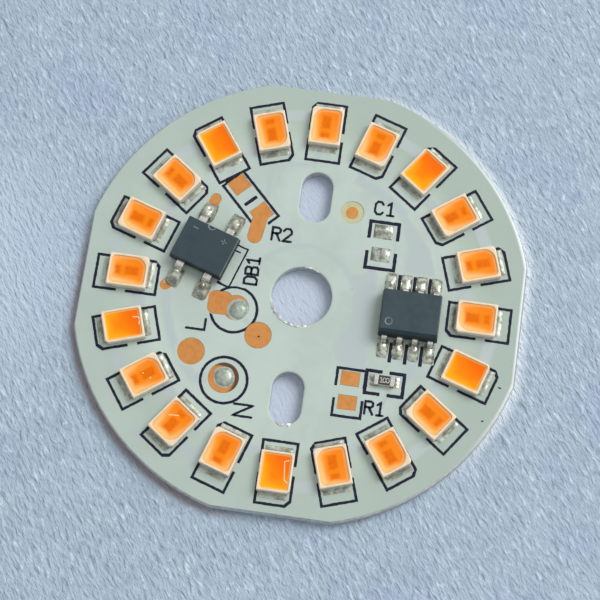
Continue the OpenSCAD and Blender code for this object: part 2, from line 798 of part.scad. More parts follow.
// Solder under one half of a lead frame, from y0 to the frame's end, with a
// hollow fillet up that end. The profile lies in the plane of the radius.
module led_joint(inner) {
    toe = led_land_end - solder_in;
    top = paste_t + led_climb;
    fillet = [for (a = [0:15:90])
        [toe - (toe - led_end) * sin(a), top - (top - paste_t / 2) * cos(a)]];
    translate([frame_w / 2 - solder_in, 0, 0]) rotate([90, 0, -90]) mirror([1, 0, 0])
        linear_extrude(frame_w - 2 * solder_in)
            polygon(concat([[inner, 0], [toe, 0]], fillet, [[led_end, paste_t], [inner, paste_t]]));
}

module led_solder() {
    color("#a9aaa0") for (i = [0:led_count - 1])
        at_led(i) translate([0, led_slip, z_copper]) {
            led_joint(slit_y + frame_slit / 2 + solder_in);
            rotate(180) led_joint(-slit_y + frame_slit / 2 + solder_in);
        }
}

// Moulded packages

// A body with drafted walls that meet at the height of its leads.
module moulded(l, w, h, part_z) {
    function wall(half) = let (lo = part_z * tan(draft), hi = (h - part_z) * tan(draft))
        [[-half + lo, 0], [half - lo, 0], [half, part_z], [half - hi, h], [-half + hi, h], [-half, part_z]];
    intersection() {
        rotate([90, 0, 0]) linear_extrude(2 * w, center = true) polygon(wall(l / 2));
        rotate([90, 0, 90]) linear_extrude(2 * l, center = true) polygon(wall(w / 2));
    }
}

// Height of a package's parting line above its own underside.
function part_line(h) = h * part_share;

// A gull-wing lead, +X outward, its foot on z = 0.
module gull_lead(body_w, h, span, w) {
    z = standoff + part_line(h);
    foot = span / 2 - foot_l;
    mid_r = bend_r + lead_t / 2;
    knee = (body_w / 2 + foot) / 2 + mid_r / 2;
    a = [body_w / 2 - lead_embed, z];
    b = [knee - mid_r / 2, z];
    c = [foot, lead_t / 2];
    d = [span / 2, lead_t / 2];
    path = concat([a], round_corner(a, b, c, mid_r), round_corner(b, c, d, mid_r), [d]);
    translate([0, w / 2, 0]) rotate([90, 0, 0]) linear_extrude(w) polygon(strip(path, lead_t));
}

// Pocket that a lead fills in its body.
module lead_pocket(body_w, h, w) {
    translate([body_w / 2 - lead_embed, -w / 2, standoff + part_line(h) - lead_t / 2])
        cube([lead_embed + cut_over, w, lead_t]);
}

// A pillow of solder on a land of the given size, its middle at the origin.
module pillow(l, w, h) {
    rl = arc_radius(l, h);
    rw = arc_radius(w, h);
    intersection() {
        translate([0, 0, h - rl]) rotate([90, 0, 0]) cylinder(r = rl, h = 2 * w, center = true);
        translate([0, 0, h - rw]) rotate([0, 90, 0]) cylinder(r = rw, h = 2 * l, center = true);
        translate([-l, -w, 0]) cube([2 * l, 2 * w, 2 * h]);
    }
}

// Solder round a lead's foot, which it leaves free.
module lead_joint(body_w, h, span, w) {
    l = foot_l + land_heel + land_toe - 2 * solder_in;
    difference() {
        translate([span / 2 - foot_l - land_heel + solder_in + l / 2, 0, 0])
            pillow(l, w + 2 * land_side - 2 * solder_in, joint_h);
        translate([0, 0, paste_t]) gull_lead(body_w, h, span, w);
    }
}

module bridge_lead() { gull_lead(bridge_w, bridge_h, bridge_span, bridge_lead_w); }
module driver_lead() { gull_lead(driver_w, driver_h, driver_span, driver_lead_w); }

module bridge_body() {
    top = standoff + bridge_h;
    edge = bridge_w / 2 - (bridge_h - part_line(bridge_h)) * tan(draft);
    color("#3b4a52") translate([0, 0, z_seat]) at_bridge() difference() {
        translate([0, 0, standoff]) moulded(bridge_l, bridge_w, bridge_h, part_line(bridge_h));
        at_leads(2, bridge_pitch) lead_pocket(bridge_w, bridge_h, bridge_lead_w);
        translate([-bridge_notch_r / 2, edge, top - bridge_notch_t])
            cylinder(r = bridge_notch_r, h = cut_over);
    }
}

module bridge_leads() {
    color("#c9ccc8") translate([0, 0, z_seat]) at_bridge() at_leads(2, bridge_pitch) bridge_lead();
}

module bridge_solder() {
    color("#b4b5ab") translate([0, 0, z_copper]) at_bridge() at_leads(2, bridge_pitch)
        lead_joint(bridge_w, bridge_h, bridge_span, bridge_lead_w);
}

module driver_body() {
    top = standoff + driver_h;
    lean = (driver_h - part_line(driver_h)) * tan(draft);
    edge = driver_w / 2 - lean;
    inset = lean + dimple_d * dimple_in;
    bevel = [[driver_bevel - edge + cut_over, top + cut_over], [-edge - cut_over, top + cut_over],
             [-edge - cut_over, top - driver_bevel - cut_over]];
    color("#3a4b54") translate([0, 0, z_seat]) at_driver() difference() {
        translate([0, 0, standoff]) moulded(driver_l, driver_w, driver_h, part_line(driver_h));
        at_leads(driver_pins, driver_pitch) lead_pocket(driver_w, driver_h, driver_lead_w);
        rotate([90, 0, 90]) linear_extrude(2 * driver_l, center = true) polygon(bevel);
        translate([-driver_l / 2 + inset, driver_bevel - driver_w / 2 + inset, top - dimple_t])
            cylinder(d = dimple_d, h = cut_over);
    }
}

module driver_leads() {
    color("#c9ccc8") translate([0, 0, z_seat]) at_driver()
        at_leads(driver_pins, driver_pitch) driver_lead();
}

module driver_solder() {
    color("#b4b5ab") translate([0, 0, z_copper]) at_driver() at_leads(driver_pins, driver_pitch)
        lead_joint(driver_w, driver_h, driver_span, driver_lead_w);
}

// Resistor

module centred_box(size, z) {
    translate([-size[0] / 2, -size[1] / 2, z]) cube(size);
}

module core_block() {
    centred_box([resistor_l - 2 * cap_t, resistor_w - 2 * cap_t, resistor_h - 2 * cap_t], cap_t);
}

module resistor_core() {
    color("#e9e7de") translate([0, 0, z_seat]) at_resistor() core_block();
}

module resistor_coat() {
    color("#23282b") translate([0, 0, z_seat]) at_resistor()
        centred_box([resistor_l - 2 * cap_l - 2 * coat_gap, resistor_w - 2 * cap_t, coat_t],
                    resistor_h - cap_t);
}

module resistor_caps() {
    color("#c4c4ba") translate([0, 0, z_seat]) at_resistor() difference() {
        for (s = [-1, 1]) translate([s * (resistor_l - cap_l) / 2, 0])
            centred_box([cap_l, resistor_w, resistor_h], 0);
        core_block();
    }
}

// Solder film under one cap with a hollow fillet up its end.
module resistor_joint() {
    toe = resistor_l / 2 + resistor_toe - solder_in;
    wall = resistor_l / 2;
    top = paste_t + resistor_climb;
    fillet = [for (a = [0:15:90]) [toe - (toe - wall) * sin(a), top - (top - paste_t / 2) * cos(a)]];
    inner = resistor_l / 2 - cap_l + solder_in;
    translate([0, resistor_w / 2 - solder_in, 0]) rotate([90, 0, 0])
        linear_extrude(resistor_w - 2 * solder_in)
            polygon(concat([[inner, 0], [toe, 0]], fillet, [[wall, paste_t], [inner, paste_t]]));
}

// A low bead of solder, round in plan.
module bead(d, h) {
    r = arc_radius(d, h);
    intersection() {
        translate([0, 0, h - r]) sphere(r = r);
        cylinder(d = 2 * d, h = 2 * h);
    }
}

module land_solder() {
    color("#b4b5ab") translate([0, 0, z_copper]) {
        at_resistor() for (s = [0, 180]) rotate(s) resistor_joint();
        for (s = [-1, 1]) translate(spare_c_land(s))
            pillow(land_w - 2 * solder_in, land_l - 2 * solder_in, tin_h);
        for (at = [live_at(), neutral_at()]) translate(at) bead(bead_d, bead_h);
    }
}

base_plate();
insulation();
copper_foil();
solder_mask();
print();
for (i = [0:led_count - 1]) {
    led_housing(i);
    led_phosphor(i);
}
led_frames();
led_dies();
led_solder();
bridge_body();
bridge_leads();
bridge_solder();
driver_body();
driver_leads();
driver_solder();
resistor_core();
resistor_coat();
resistor_caps();
land_solder();
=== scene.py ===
"""Looks of a round LED board that carries its own driver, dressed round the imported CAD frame.

Lengths are millimetres in the board's frame until a mesh is made: meshes are in metres.
"""

import logging
import math
from dataclasses import dataclass, field
from enum import Enum
from typing import Callable, Sequence

import bmesh
import bpy
from mathutils import Matrix, Vector, noise
from mathutils.kdtree import KDTree


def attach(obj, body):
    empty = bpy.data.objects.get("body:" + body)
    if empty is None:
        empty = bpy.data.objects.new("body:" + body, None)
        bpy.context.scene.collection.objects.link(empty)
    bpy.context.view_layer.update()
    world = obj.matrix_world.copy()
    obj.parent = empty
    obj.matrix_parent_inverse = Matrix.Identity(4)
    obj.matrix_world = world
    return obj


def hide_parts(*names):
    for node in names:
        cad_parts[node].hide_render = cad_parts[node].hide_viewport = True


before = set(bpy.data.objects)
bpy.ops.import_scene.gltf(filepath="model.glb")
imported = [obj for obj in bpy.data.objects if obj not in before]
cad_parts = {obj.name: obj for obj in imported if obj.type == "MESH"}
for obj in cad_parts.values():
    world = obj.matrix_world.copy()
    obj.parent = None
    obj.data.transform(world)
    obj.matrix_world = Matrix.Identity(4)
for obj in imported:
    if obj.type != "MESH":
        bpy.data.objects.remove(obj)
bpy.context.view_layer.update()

LOG = logging.getLogger("led_board")
MM = 0.001
BODY = "root"

# Levels above the board's underside.
Z_COPPER = 1.035
Z_SOLDER = 1.043
Z_MASK = 1.055
Z_INK = 1.07
Z_SEAT = 1.095

# Rim of the board, from its middle to the round part and to the flats.
ROUND_R = 19.0
FLAT_R = 18.35

# When a face counts as level, by its normal, when it lies at a height, and when two points are one.
LEVEL = 0.9
NEAR = 0.002
SAME = 1e-4

# Share of a side that the rounding of one corner may take.
SIDE_SHARE = 0.49

# How the edges of CAD nodes are found and rounded: weld, flat angle, edge angle and steps.
WELD = 0.0005
FLAT_DEGREES = 2
EDGE_DEGREES = 35
BEVEL_STEPS = 3

Point2 = tuple[float, float]
Point3 = tuple[float, float, float]
Band = tuple[float, float]
Colour = tuple[float, float, float, float]
Socket = bpy.types.NodeSocket
Outputs = bpy.types.NodeOutputs
Plug = float | Sequence[float] | Socket
Inputs = dict[str | int, Plug]


def srgb(red: float, green: float, blue: float) -> Colour:
    """Linear colour, with full alpha, of a screen colour whose parts go from 0 to 255."""
    parts = [c / 255 for c in (red, green, blue)]
    return (*[c / 12.92 if c <= 0.04045 else ((c + 0.055) / 1.055) ** 2.4 for c in parts], 1.0)


def eased(share: float) -> float:
    """Share kept from 0 to 1, with a soft start and end."""
    kept = min(1.0, max(0.0, share))
    return kept * kept * (3 - 2 * kept)


def shares(steps: int) -> list[float]:
    """Shares from 0 to 1 in so many even steps."""
    return [k / steps for k in range(steps + 1)]


def turns(count: int, first: float = 0.0) -> list[float]:
    """Angles in so many even steps round a circle, the first of them a part of a step in."""
    return [2 * math.pi * (k + first) / count for k in range(count)]


def wobble(x: float, y: float, seed: float) -> float:
    """Smooth noise from about -1 to 1 at a place, the same on each run."""
    return noise.noise(Vector((x, y, seed * 3.7 + 0.31)))


# Shader effects


@dataclass
class Sketch:
    """Adds nodes to one tree and links them."""

    tree: bpy.types.NodeTree

    def add(self, kind: str, inputs: Inputs | None = None, **settings: object) -> bpy.types.Node:
        """Adds a node.

        Args:
            kind: Blender's name for the kind of node.
            inputs: What goes into its sockets: a value, or another node's output.
            **settings: Properties of the node itself.

        Returns:
            The new node.
        """
        node = self.tree.nodes.new(kind)
        for name, setting in settings.items():
            setattr(node, name, setting)
        for key, plug in (inputs or {}).items():
            if isinstance(plug, Socket):
                self.tree.links.new(plug, node.inputs[key])
            else:
                node.inputs[key].default_value = plug
        return node

    def calc(self, operation: str, first: Plug, second: Plug = 0.0) -> Socket:
        """Result of one arithmetic step on two numbers."""
        return self.add("ShaderNodeMath", {0: first, 1: second}, operation=operation).outputs[0]

    def times(self, first: Plug, second: Plug) -> Socket:
        """Product of two numbers."""
        return self.calc("MULTIPLY", first, second)

    def vector(self, operation: str, first: Plug, second: Plug = (0, 0, 0)) -> Socket:
        """Vector that one arithmetic step on two vectors gives."""
        return self.add("ShaderNodeVectorMath", {0: first, 1: second}, operation=operation).outputs[0]

    def number(self, operation: str, first: Plug, second: Plug = (0, 0, 0)) -> Socket:
        """Number that one arithmetic step on two vectors gives."""
        return self.add("ShaderNodeVectorMath", {0: first, 1: second}, operation=operation).outputs["Value"]

    def scaled(self, vector: Plug, factor: Plug) -> Socket:
        """Vector times a number."""
        return self.add("ShaderNodeVectorMath", {0: vector, "Scale": factor}, operation="SCALE").outputs[0]

    def blend(self, share: Plug, low: Plug, high: Plug) -> Socket:
        """Colour between two others: low where the share is 0, high where it is 1."""
        return self.add("ShaderNodeMix", {0: share, 6: low, 7: high}, data_type="RGBA").outputs[2]

    def span(self, value: Plug, low: Plug, high: Plug, to_low: Plug = 0.0, to_high: Plug = 1.0) -> Socket:
        """Value eased from the range low to high into another range, and kept in it."""
        ends = {"Value": value, "From Min": low, "From Max": high, "To Min": to_low, "To Max": to_high}
        return self.add("ShaderNodeMapRange", ends, interpolation_type="SMOOTHSTEP").outputs[0]

    def board_mm(self) -> Socket:
        """Place in the board's frame, in millimetres."""
        return self.scaled(self.add("ShaderNodeTexCoord").outputs["Object"], 1 / MM)

    def drawn(self, turn: Plug, stretch: Plug) -> Socket:
        """Place in millimetres, turned about z and then stretched."""
        turned = self.add("ShaderNodeVectorRotate", {"Vector": self.board_mm(), "Angle": turn},
                          rotation_type="Z_AXIS").outputs[0]
        return self.vector("MULTIPLY", turned, stretch)

    def grain(self, scale: Plug, detail: float, place: Socket | None = None, **others: float) -> Outputs:
        """Noise with so many grains to the millimetre, as a number and as a colour."""
        inputs = {"Vector": place or self.board_mm(), "Scale": scale, "Detail": detail, "Roughness": 0.6}
        return self.add("ShaderNodeTexNoise", inputs | others).outputs

    def past_rim(self, place: Socket) -> Socket:
        """Measures how far a place lies past the board's rim.

        Args:
            place: The place, in millimetres.

        Returns:
            The distance, below zero within the rim.
        """
        from_middle = self.number("LENGTH", self.vector("MULTIPLY", place, (1, 1, 0)))
        x, y, _ = self.parts(self.vector("ABSOLUTE", place))
        flats = self.calc("SUBTRACT", self.calc("MAXIMUM", x, y), FLAT_R)
        return self.calc("MAXIMUM", self.calc("SUBTRACT", from_middle, ROUND_R), flats)

    def note(self, name: str) -> Socket:
        """Vector that a piece's mesh keeps with each of its points."""
        kept = self.add("ShaderNodeAttribute", attribute_name=name, attribute_type="GEOMETRY")
        return kept.outputs["Vector"]

    def parts(self, vector: Socket) -> Outputs:
        """The three numbers of a vector."""
        return self.add("ShaderNodeSeparateXYZ", {0: vector}).outputs


class Effect(Enum):
    """Shader effects that are kept as groups."""

    MOTTLE = "mottle"
    RELIEF = "relief"
    SPECKS = "specks"
    SOFT_BOX = "soft_box"


class EffectBook:
    """Makes each effect once, as a shader node group."""

    # Kinds of the groups' sockets that aren't plain numbers.
    kinds = dict.fromkeys(("Light", "Dark", "Colour"), "NodeSocketColor")
    kinds |= dict.fromkeys(("Stretch", "Place", "Middle", "Half"), "NodeSocketVector")

    def __init__(self) -> None:
        """Starts with no groups made."""
        self.made: dict[Effect, bpy.types.NodeTree] = {}
        self.makers: dict[Effect, Callable[[Sketch, Outputs], Inputs]] = {
            Effect.MOTTLE: self._mottle, Effect.RELIEF: self._relief,
            Effect.SPECKS: self._specks, Effect.SOFT_BOX: self._soft_box}

    def place(self, sketch: Sketch, effect: Effect, inputs: Inputs) -> Outputs:
        """Places an effect in a tree.

        Args:
            sketch: The tree to add it to.
            effect: Which effect.
            inputs: What goes into its sockets.

        Returns:
            The outputs of the group's node.
        """
        if effect not in self.made:
            self.made[effect] = bpy.data.node_groups.new(effect.value, "ShaderNodeTree")
            group = Sketch(self.made[effect])
            self._open(group, "INPUT", inputs)
            results = self.makers[effect](group, group.add("NodeGroupInput").outputs)
            self._open(group, "OUTPUT", results)
            group.add("NodeGroupOutput", results)
        return sketch.add("ShaderNodeGroup", inputs, node_tree=self.made[effect]).outputs

    def _open(self, group: Sketch, side: str, names: Inputs) -> None:
        """Opens a socket for each name on one side of a group."""
        for name in names:
            socket_type = self.kinds.get(name, "NodeSocketFloat")
            group.tree.interface.new_socket(name, in_out=side, socket_type=socket_type)

    @staticmethod
    def _mottle(sketch: Sketch, given: Outputs) -> Inputs:
        """Two colours mixed in soft patches."""
        mask = sketch.span(sketch.grain(given["Scale"], 5.0)[0], given["Low"], given["High"])
        return {"Colour": sketch.blend(mask, given["Light"], given["Dark"]), "Mask": mask}

    @staticmethod
    def _relief(sketch: Sketch, given: Outputs) -> Inputs:
        """Draws a surface with coarse and fine unevenness, stretched along an axis if asked.

        Args:
            sketch: The group's tree.
            given: What comes into it.

        Returns:
            The surface's height.
        """
        place = sketch.drawn(given["Turn"], given["Stretch"])
        fine = sketch.times(sketch.grain(given["Fine Scale"], 3.0, place)[0], given["Fine Share"])
        return {"Height": sketch.calc("ADD", sketch.grain(given["Scale"], 2.0, place)[0], fine)}

    @staticmethod
    def _specks(sketch: Sketch, given: Outputs) -> Inputs:
        """Scatters specks in a share of the cells of a loose net.

        Args:
            sketch: The group's tree.
            given: What comes into it.

        Returns:
            The specks' mask.
        """
        net = {"Vector": sketch.board_mm(), "Scale": given["Scale"]}
        cells = sketch.add("ShaderNodeTexVoronoi", net).outputs
        chosen = sketch.calc("LESS_THAN", sketch.parts(cells["Color"])[0], given["Share"])
        return {"Mask": sketch.times(sketch.span(cells["Distance"], given["Size"], 0.0), chosen)}

    @staticmethod
    def _soft_box(sketch: Sketch, given: Outputs) -> Inputs:
        """Draws a blurred, warped rectangle about a middle, in the flat of the vector given.

        Args:
            sketch: The group's tree.
            given: What comes into it.

        Returns:
            The rectangle's mask.
        """
        stir = sketch.vector("SUBTRACT", sketch.grain(3.5, 2.0)[1], (0.5, 0.5, 0.5))
        place = sketch.vector("ADD", given["Place"], sketch.scaled(stir, given["Warp"]))
        off = sketch.vector("ABSOLUTE", sketch.vector("SUBTRACT", place, given["Middle"]))
        x, y, _ = sketch.parts(sketch.vector("SUBTRACT", off, given["Half"]))
        soft = given["Soft"]
        return {"Mask": sketch.span(sketch.calc("MAXIMUM", x, y), soft, sketch.times(soft, -1.0))}


EFFECTS = EffectBook()


# Finishes


@dataclass(frozen=True)
class Tone:
    """A colour laid on a surface as far as some value reaches into a band.

    Without a band the value is the share itself. With a way, it is strongest on the side that faces there.
    """

    colour: Colour
    band: Band | None = None
    most: float = 1.0
    way: Point3 | None = None
    facing: Band = (-1.0, 1.0)
    least: float = 0.0

    def over(self, sketch: Sketch, ground: Socket, value: Socket) -> Socket:
        """Lays the colour on a ground.

        Args:
            sketch: The material's tree.
            ground: Colour of the ground.
            value: The value that the tone follows.

        Returns:
            The colour of both together.
        """
        share = sketch.span(value, *self.band, 0.0, self.most) if self.band else value
        if self.way:
            toward = sketch.number("DOT_PRODUCT", sketch.vector("NORMALIZE", sketch.board_mm()), self.way)
            share = sketch.times(share, sketch.span(toward, *self.facing, self.least, 1.0))
        return sketch.blend(share, ground, self.colour)


Layer = tuple[Tone, Socket]


@dataclass(frozen=True)
class Blot:
    """A blurred patch of colour in an LED's fill, between two ends of its length, clouded if asked."""

    colour: Colour
    ends: Band
    half_w: float
    soft: float
    warp: float
    most: float
    clear: float = 1.0
    cloud_grain: float = 3.0
    cloud_band: Band = (0.35, 0.65)

    def layer(self, sketch: Sketch) -> Layer:
        """Draws the patch.

        Args:
            sketch: The material's tree.

        Returns:
            Its tone, with the mask that the tone follows.
        """
        low, high = self.ends
        mask = EFFECTS.place(sketch, Effect.SOFT_BOX, {
            "Place": sketch.note("cup"), "Middle": (0.0, (low + high) / 2, 0.0),
            "Half": (self.half_w, (high - low) / 2, 0.0), "Soft": self.soft, "Warp": self.warp})["Mask"]
        cloud = sketch.grain(self.cloud_grain, 3.0)[0]
        share = sketch.span(cloud, *self.cloud_band, self.clear * self.most, self.most)
        return Tone(self.colour), sketch.times(mask, share)


@dataclass(frozen=True)
class Finish:
    """A surface of two mottled colours, with uneven gloss and a fine relief."""

    name: str
    slot: str
    light: Colour
    dark: Colour
    patch: float = 1.2
    contrast: Band = (0.36, 0.66)
    rough: Band = (0.42, 0.56)
    metallic: float = 0.0
    specular: float = 0.5
    depth: float = 0.004
    grain: float = 7.0
    fine: float = 38.0
    fine_share: float = 0.4
    stretch: Point3 = (1.0, 1.0, 1.0)
    turn: float = 0.0

    def make(self) -> bpy.types.Material:
        """Makes the material, or finds it if it is made.

        Returns:
            The material.
        """
        title = self.name + "_finish"
        found = bpy.data.materials.get(title)
        if found:
            return found
        material = bpy.data.materials.new(title)
        material.use_nodes = True
        material.node_tree.nodes.clear()
        sketch = Sketch(material.node_tree)
        mottle = EFFECTS.place(sketch, Effect.MOTTLE, {
            "Light": self.light, "Dark": self.dark, "Scale": self.patch,
            "Low": self.contrast[0], "High": self.contrast[1]})
        colour = mottle["Colour"]
        for tone, value in self.layers(sketch):
            colour = tone.over(sketch, colour, value)
        height = EFFECTS.place(sketch, Effect.RELIEF, {
            "Turn": math.radians(self.turn), "Stretch": self.stretch, "Scale": self.grain,
            "Fine Scale": self.fine, "Fine Share": self.fine_share})["Height"]
        bump = {"Distance": self.depth * MM, "Height": self.relief(sketch, height)}
        shader = sketch.add("ShaderNodeBsdfPrincipled", {
            "Base Color": colour, "Roughness": sketch.span(mottle["Mask"], 0.0, 1.0, *self.rough),
            "Metallic": self.metallic, "Specular IOR Level": self.specular,
            "Normal": sketch.add("ShaderNodeBump", bump).outputs[0], **self.extras()})
        sketch.add("ShaderNodeOutputMaterial", {"Surface": shader.outputs[0]})
        return material

    def layers(self, sketch: Sketch) -> list[Layer]:
        """Tones that lie on the mottled ground, each with the value that it follows."""
        return []

    def relief(self, sketch: Sketch, height: Socket) -> Socket:
        """Height of the surface, from its even relief."""
        return height

    def extras(self) -> Inputs:
        """What else goes into the shader."""
        return {}


@dataclass(frozen=True)
class MaskFinish(Finish):
    """White solder resist with dust on it, cooler over copper, with painted shade that greys its rim and a
    painted highlight on its lit cut edge.
    """

    # Painted shade: the rim greys toward the board's edge, most on the side toward the lamp.
    rim: Tone = Tone(srgb(166, 181, 171), (12.5, 16.0), way=(0.92, 0.39, 0.0), least=0.44)
    # Painted highlight: the cut edge turns pale on the side toward the lamp.
    cut: Tone = Tone(srgb(230, 240, 235), (-0.4, -0.2), way=(0.97, 0.24, 0.0), facing=(0.55, 1.0))
    over_copper: Tone = Tone(srgb(178, 190, 189))
    dust: Tone = Tone(srgb(120, 122, 118))
    dust_net: float = 0.9
    dust_size: float = 0.05
    dust_share: float = 0.1

    def layers(self, sketch: Sketch) -> list[Layer]:
        """Lists the painted shade of the rim, the painted highlight on its cut edge, the tone over the copper
        below and the dust.

        Args:
            sketch: The material's tree.

        Returns:
            Each tone with the value that it follows.
        """
        place = sketch.board_mm()
        specks = EFFECTS.place(sketch, Effect.SPECKS, {
            "Scale": self.dust_net, "Size": self.dust_size, "Share": self.dust_share})
        return [(self.rim, sketch.number("LENGTH", place)), (self.cut, sketch.past_rim(place)),
                (self.over_copper, sketch.parts(sketch.note("over_copper"))[0]), (self.dust, specks["Mask"])]


@dataclass(frozen=True)
class CopperFinish(Finish):
    """Bare copper, with a dark flux stain at the rim of the neutral wire's land."""

    stain: Tone = Tone(srgb(92, 58, 36))
    land: Point3 = (-5.37, -7.74, Z_COPPER)
    land_band: Band = (1.38, 1.28)
    clean: Point3 = (-5.75, -8.0, Z_COPPER)
    clean_band: Band = (1.12, 1.37)

    def layers(self, sketch: Sketch) -> list[Layer]:
        """Stains a crescent between the land and a clean disc that lies off its middle.

        Args:
            sketch: The material's tree.

        Returns:
            The stain with the mask that it follows.
        """
        place = sketch.board_mm()
        within = sketch.span(sketch.number("DISTANCE", place, self.land), *self.land_band)
        outside = sketch.span(sketch.number("DISTANCE", place, self.clean), *self.clean_band)
        return [(self.stain, sketch.times(within, outside))]


@dataclass(frozen=True)
class HousingFinish(Finish):
    """Cream moulding, warmer toward its window with painted light, as if lit through the fill."""

    # Painted light: a warm tint toward the window stands in for light that comes through the fill.
    painted_glow: Tone = Tone(srgb(245, 196, 130))
    through: float = 0.2
    through_mm: Point3 = (0.4, 0.3, 0.2)

    def layers(self, sketch: Sketch) -> list[Layer]:
        """The painted light from the fill, which grows toward the window."""
        return [(self.painted_glow, sketch.parts(sketch.note("painted_glow"))[0])]

    def extras(self) -> Inputs:
        """Light that comes through the thin rim."""
        reach = [length * MM for length in self.through_mm]
        return {"Subsurface Weight": self.through, "Subsurface Radius": reach, "Subsurface Scale": 1.0}


@dataclass(frozen=True)
class PhosphorFinish(Finish):
    """Clouded silicone, darker over the dies, with painted light that makes it pale toward the walls away
    from the lamp and painted shade that makes it ruddy toward the lamp.
    """

    # Painted light makes the fill pale toward the walls away from the lamp; painted shade makes it ruddy
    # toward the lamp.
    pale: Tone = Tone(srgb(255, 208, 138), (0.6, -0.4))
    ruddy: Tone = Tone(srgb(246, 124, 18), (-0.3, 0.9), 0.75)
    edge: Tone = Tone(srgb(250, 178, 108), (0.34, 0.02))
    blots: tuple[Blot, ...] = ()
    lit_pull: float = 0.5

    def layers(self, sketch: Sketch) -> list[Layer]:
        """Lists the painted light and shade that follow the side of the lamp, the tones over the dies below
        and the wall.

        Args:
            sketch: The material's tree.

        Returns:
            Each tone with the value that it follows.
        """
        lit, wall, _ = sketch.parts(sketch.note("light"))
        reach = sketch.calc("ADD", wall, sketch.times(lit, self.lit_pull))
        blots = [blot.layer(sketch) for blot in self.blots]
        return [(self.pale, reach), (self.ruddy, lit), *blots, (self.edge, wall)]


@dataclass(frozen=True)
class MouldingFinish(Finish):
    """Dark moulding, with painted shade that makes its sides nearly black below its face, and a painted
    highlight on the faces that turn toward the light.
    """

    # Painted shade darkens the sides below the face.
    side: Tone = Tone(srgb(16, 24, 28), (2.44, 2.2))
    # Painted highlight on the faces that turn toward the light.
    painted_highlight: Tone = Tone(srgb(124, 140, 136), (0.5, 0.95), 0.8)
    highlight_way: Point3 = (0.94, 0.0, 0.34)

    def layers(self, sketch: Sketch) -> list[Layer]:
        """The painted highlight, by the way that a face turns, and the painted shade on the sides, by their
        level.
        """
        normal, level = sketch.add("ShaderNodeTexCoord").outputs["Normal"], sketch.parts(sketch.board_mm())[2]
        return [(self.painted_highlight, sketch.number("DOT_PRODUCT", normal, self.highlight_way)), (self.side, level)]


@dataclass(frozen=True)
class PaperFinish(Finish):
    """Rough paper whose short fibres lie one way, with painted light under the board and by its lit edge, and
    a painted shadow by its far edge.
    """

    cool: Tone = Tone(srgb(170, 185, 207), (0.5, 0.68))
    cool_grain: float = 0.11
    glint: Tone = Tone(srgb(212, 226, 238), (0.52, 0.74), 0.8)
    shade: Tone = Tone(srgb(142, 160, 178), (0.48, 0.28), 0.7)
    pale: Tone = Tone(srgb(190, 207, 225), (15.0, 4.0), 0.75)
    pale_spot: Point3 = (-28.5, -0.5, 0.0)
    # Painted light thrown back from the board's lit edge.
    bounce: Tone = Tone(srgb(236, 244, 250), (1.05, 0.0), 0.75, (0.94, 0.342, 0.0), (0.25, 0.8))
    # Painted shadow along the board's far edge, on the side away from the lamp.
    painted_edge_shadow: Tone = Tone(srgb(158, 141, 141), (0.75, 0.25), 0.7, (-0.818, -0.575, 0.0), (0.62, 0.85))
    # Painted light on the floor under the board, seen through its holes.
    under: Tone = Tone(srgb(190, 200, 216), (13.0, 11.0))
    pressed: float = 0.4

    def layers(self, sketch: Sketch) -> list[Layer]:
        """Lists the tones of cool patches, fibres and the pale spot, and the painted light and shadow by the
        board's edge and under it.

        Args:
            sketch: The material's tree.

        Returns:
            Each tone with the value that it follows.
        """
        place = sketch.board_mm()
        drawn = sketch.drawn(math.radians(self.turn), self.stretch)
        fibres = sketch.grain(self.grain, 3.0, drawn, Roughness=0.62, Distortion=0.9)[0]
        gap = sketch.past_rim(place)
        return [(self.cool, sketch.grain(self.cool_grain, 2.0)[0]),
                (self.glint, fibres), (self.shade, fibres),
                (self.pale, sketch.number("DISTANCE", place, self.pale_spot)),
                (self.bounce, gap), (self.painted_edge_shadow, gap), (self.under, sketch.number("LENGTH", place))]

    def relief(self, sketch: Sketch, height: Socket) -> Socket:
        """Relief that is pressed flat under the board."""
        from_middle = sketch.number("LENGTH", sketch.board_mm())
        return sketch.times(height, sketch.span(from_middle, *self.under.band[::-1], self.pressed, 1.0))


VIVID = Blot(srgb(246, 132, 8), (-1.15, 0.95), half_w=0.55, soft=0.42, warp=0.25, most=0.95)
OVER_DIES = tuple(Blot(srgb(228, 103, 0), ends, half_w=0.36, soft=0.13, warp=0.18, most=0.92, clear=0.7)
                  for ends in ((-0.2, 0.92), (-1.02, -0.62)))

ALUMINIUM = Finish("bare_aluminium", "core_aluminium", srgb(200, 201, 202), srgb(178, 180, 183), patch=2.5,
                   rough=(0.34, 0.5), metallic=0.45, depth=0.012, grain=5.0, stretch=(1.0, 1.0, 0.25))
BURR = Finish("burred_metal", "core_aluminium", srgb(218, 221, 217), srgb(168, 170, 162), patch=4.0,
              rough=(0.34, 0.5), metallic=0.45, depth=0.01, grain=8.0)
RESIN = Finish("insulating_resin", "insulation_resin", srgb(192, 192, 152), srgb(182, 180, 138), patch=3.0)
COPPER = CopperFinish("dull_copper", "bare_copper", srgb(205, 138, 70), srgb(195, 128, 62), patch=2.2,
                      rough=(0.42, 0.6), metallic=0.35, depth=0.003, grain=14.0)
MASK = MaskFinish("white_resist", "white_mask", srgb(187, 202, 193), srgb(179, 193, 185), patch=0.25,
                  rough=(0.42, 0.55), specular=0.3, depth=0.003, grain=5.0, fine=24.0)
INK = Finish("dark_print", "dark_ink", srgb(22, 24, 42), srgb(34, 36, 56), patch=4.0, rough=(0.45, 0.6),
             specular=0.15, grain=10.0)
HOUSING = HousingFinish("cream_moulding", "led_housing", srgb(237, 225, 205), srgb(228, 214, 192), patch=1.5,
                        rough=(0.38, 0.5), depth=0.003, grain=9.0)
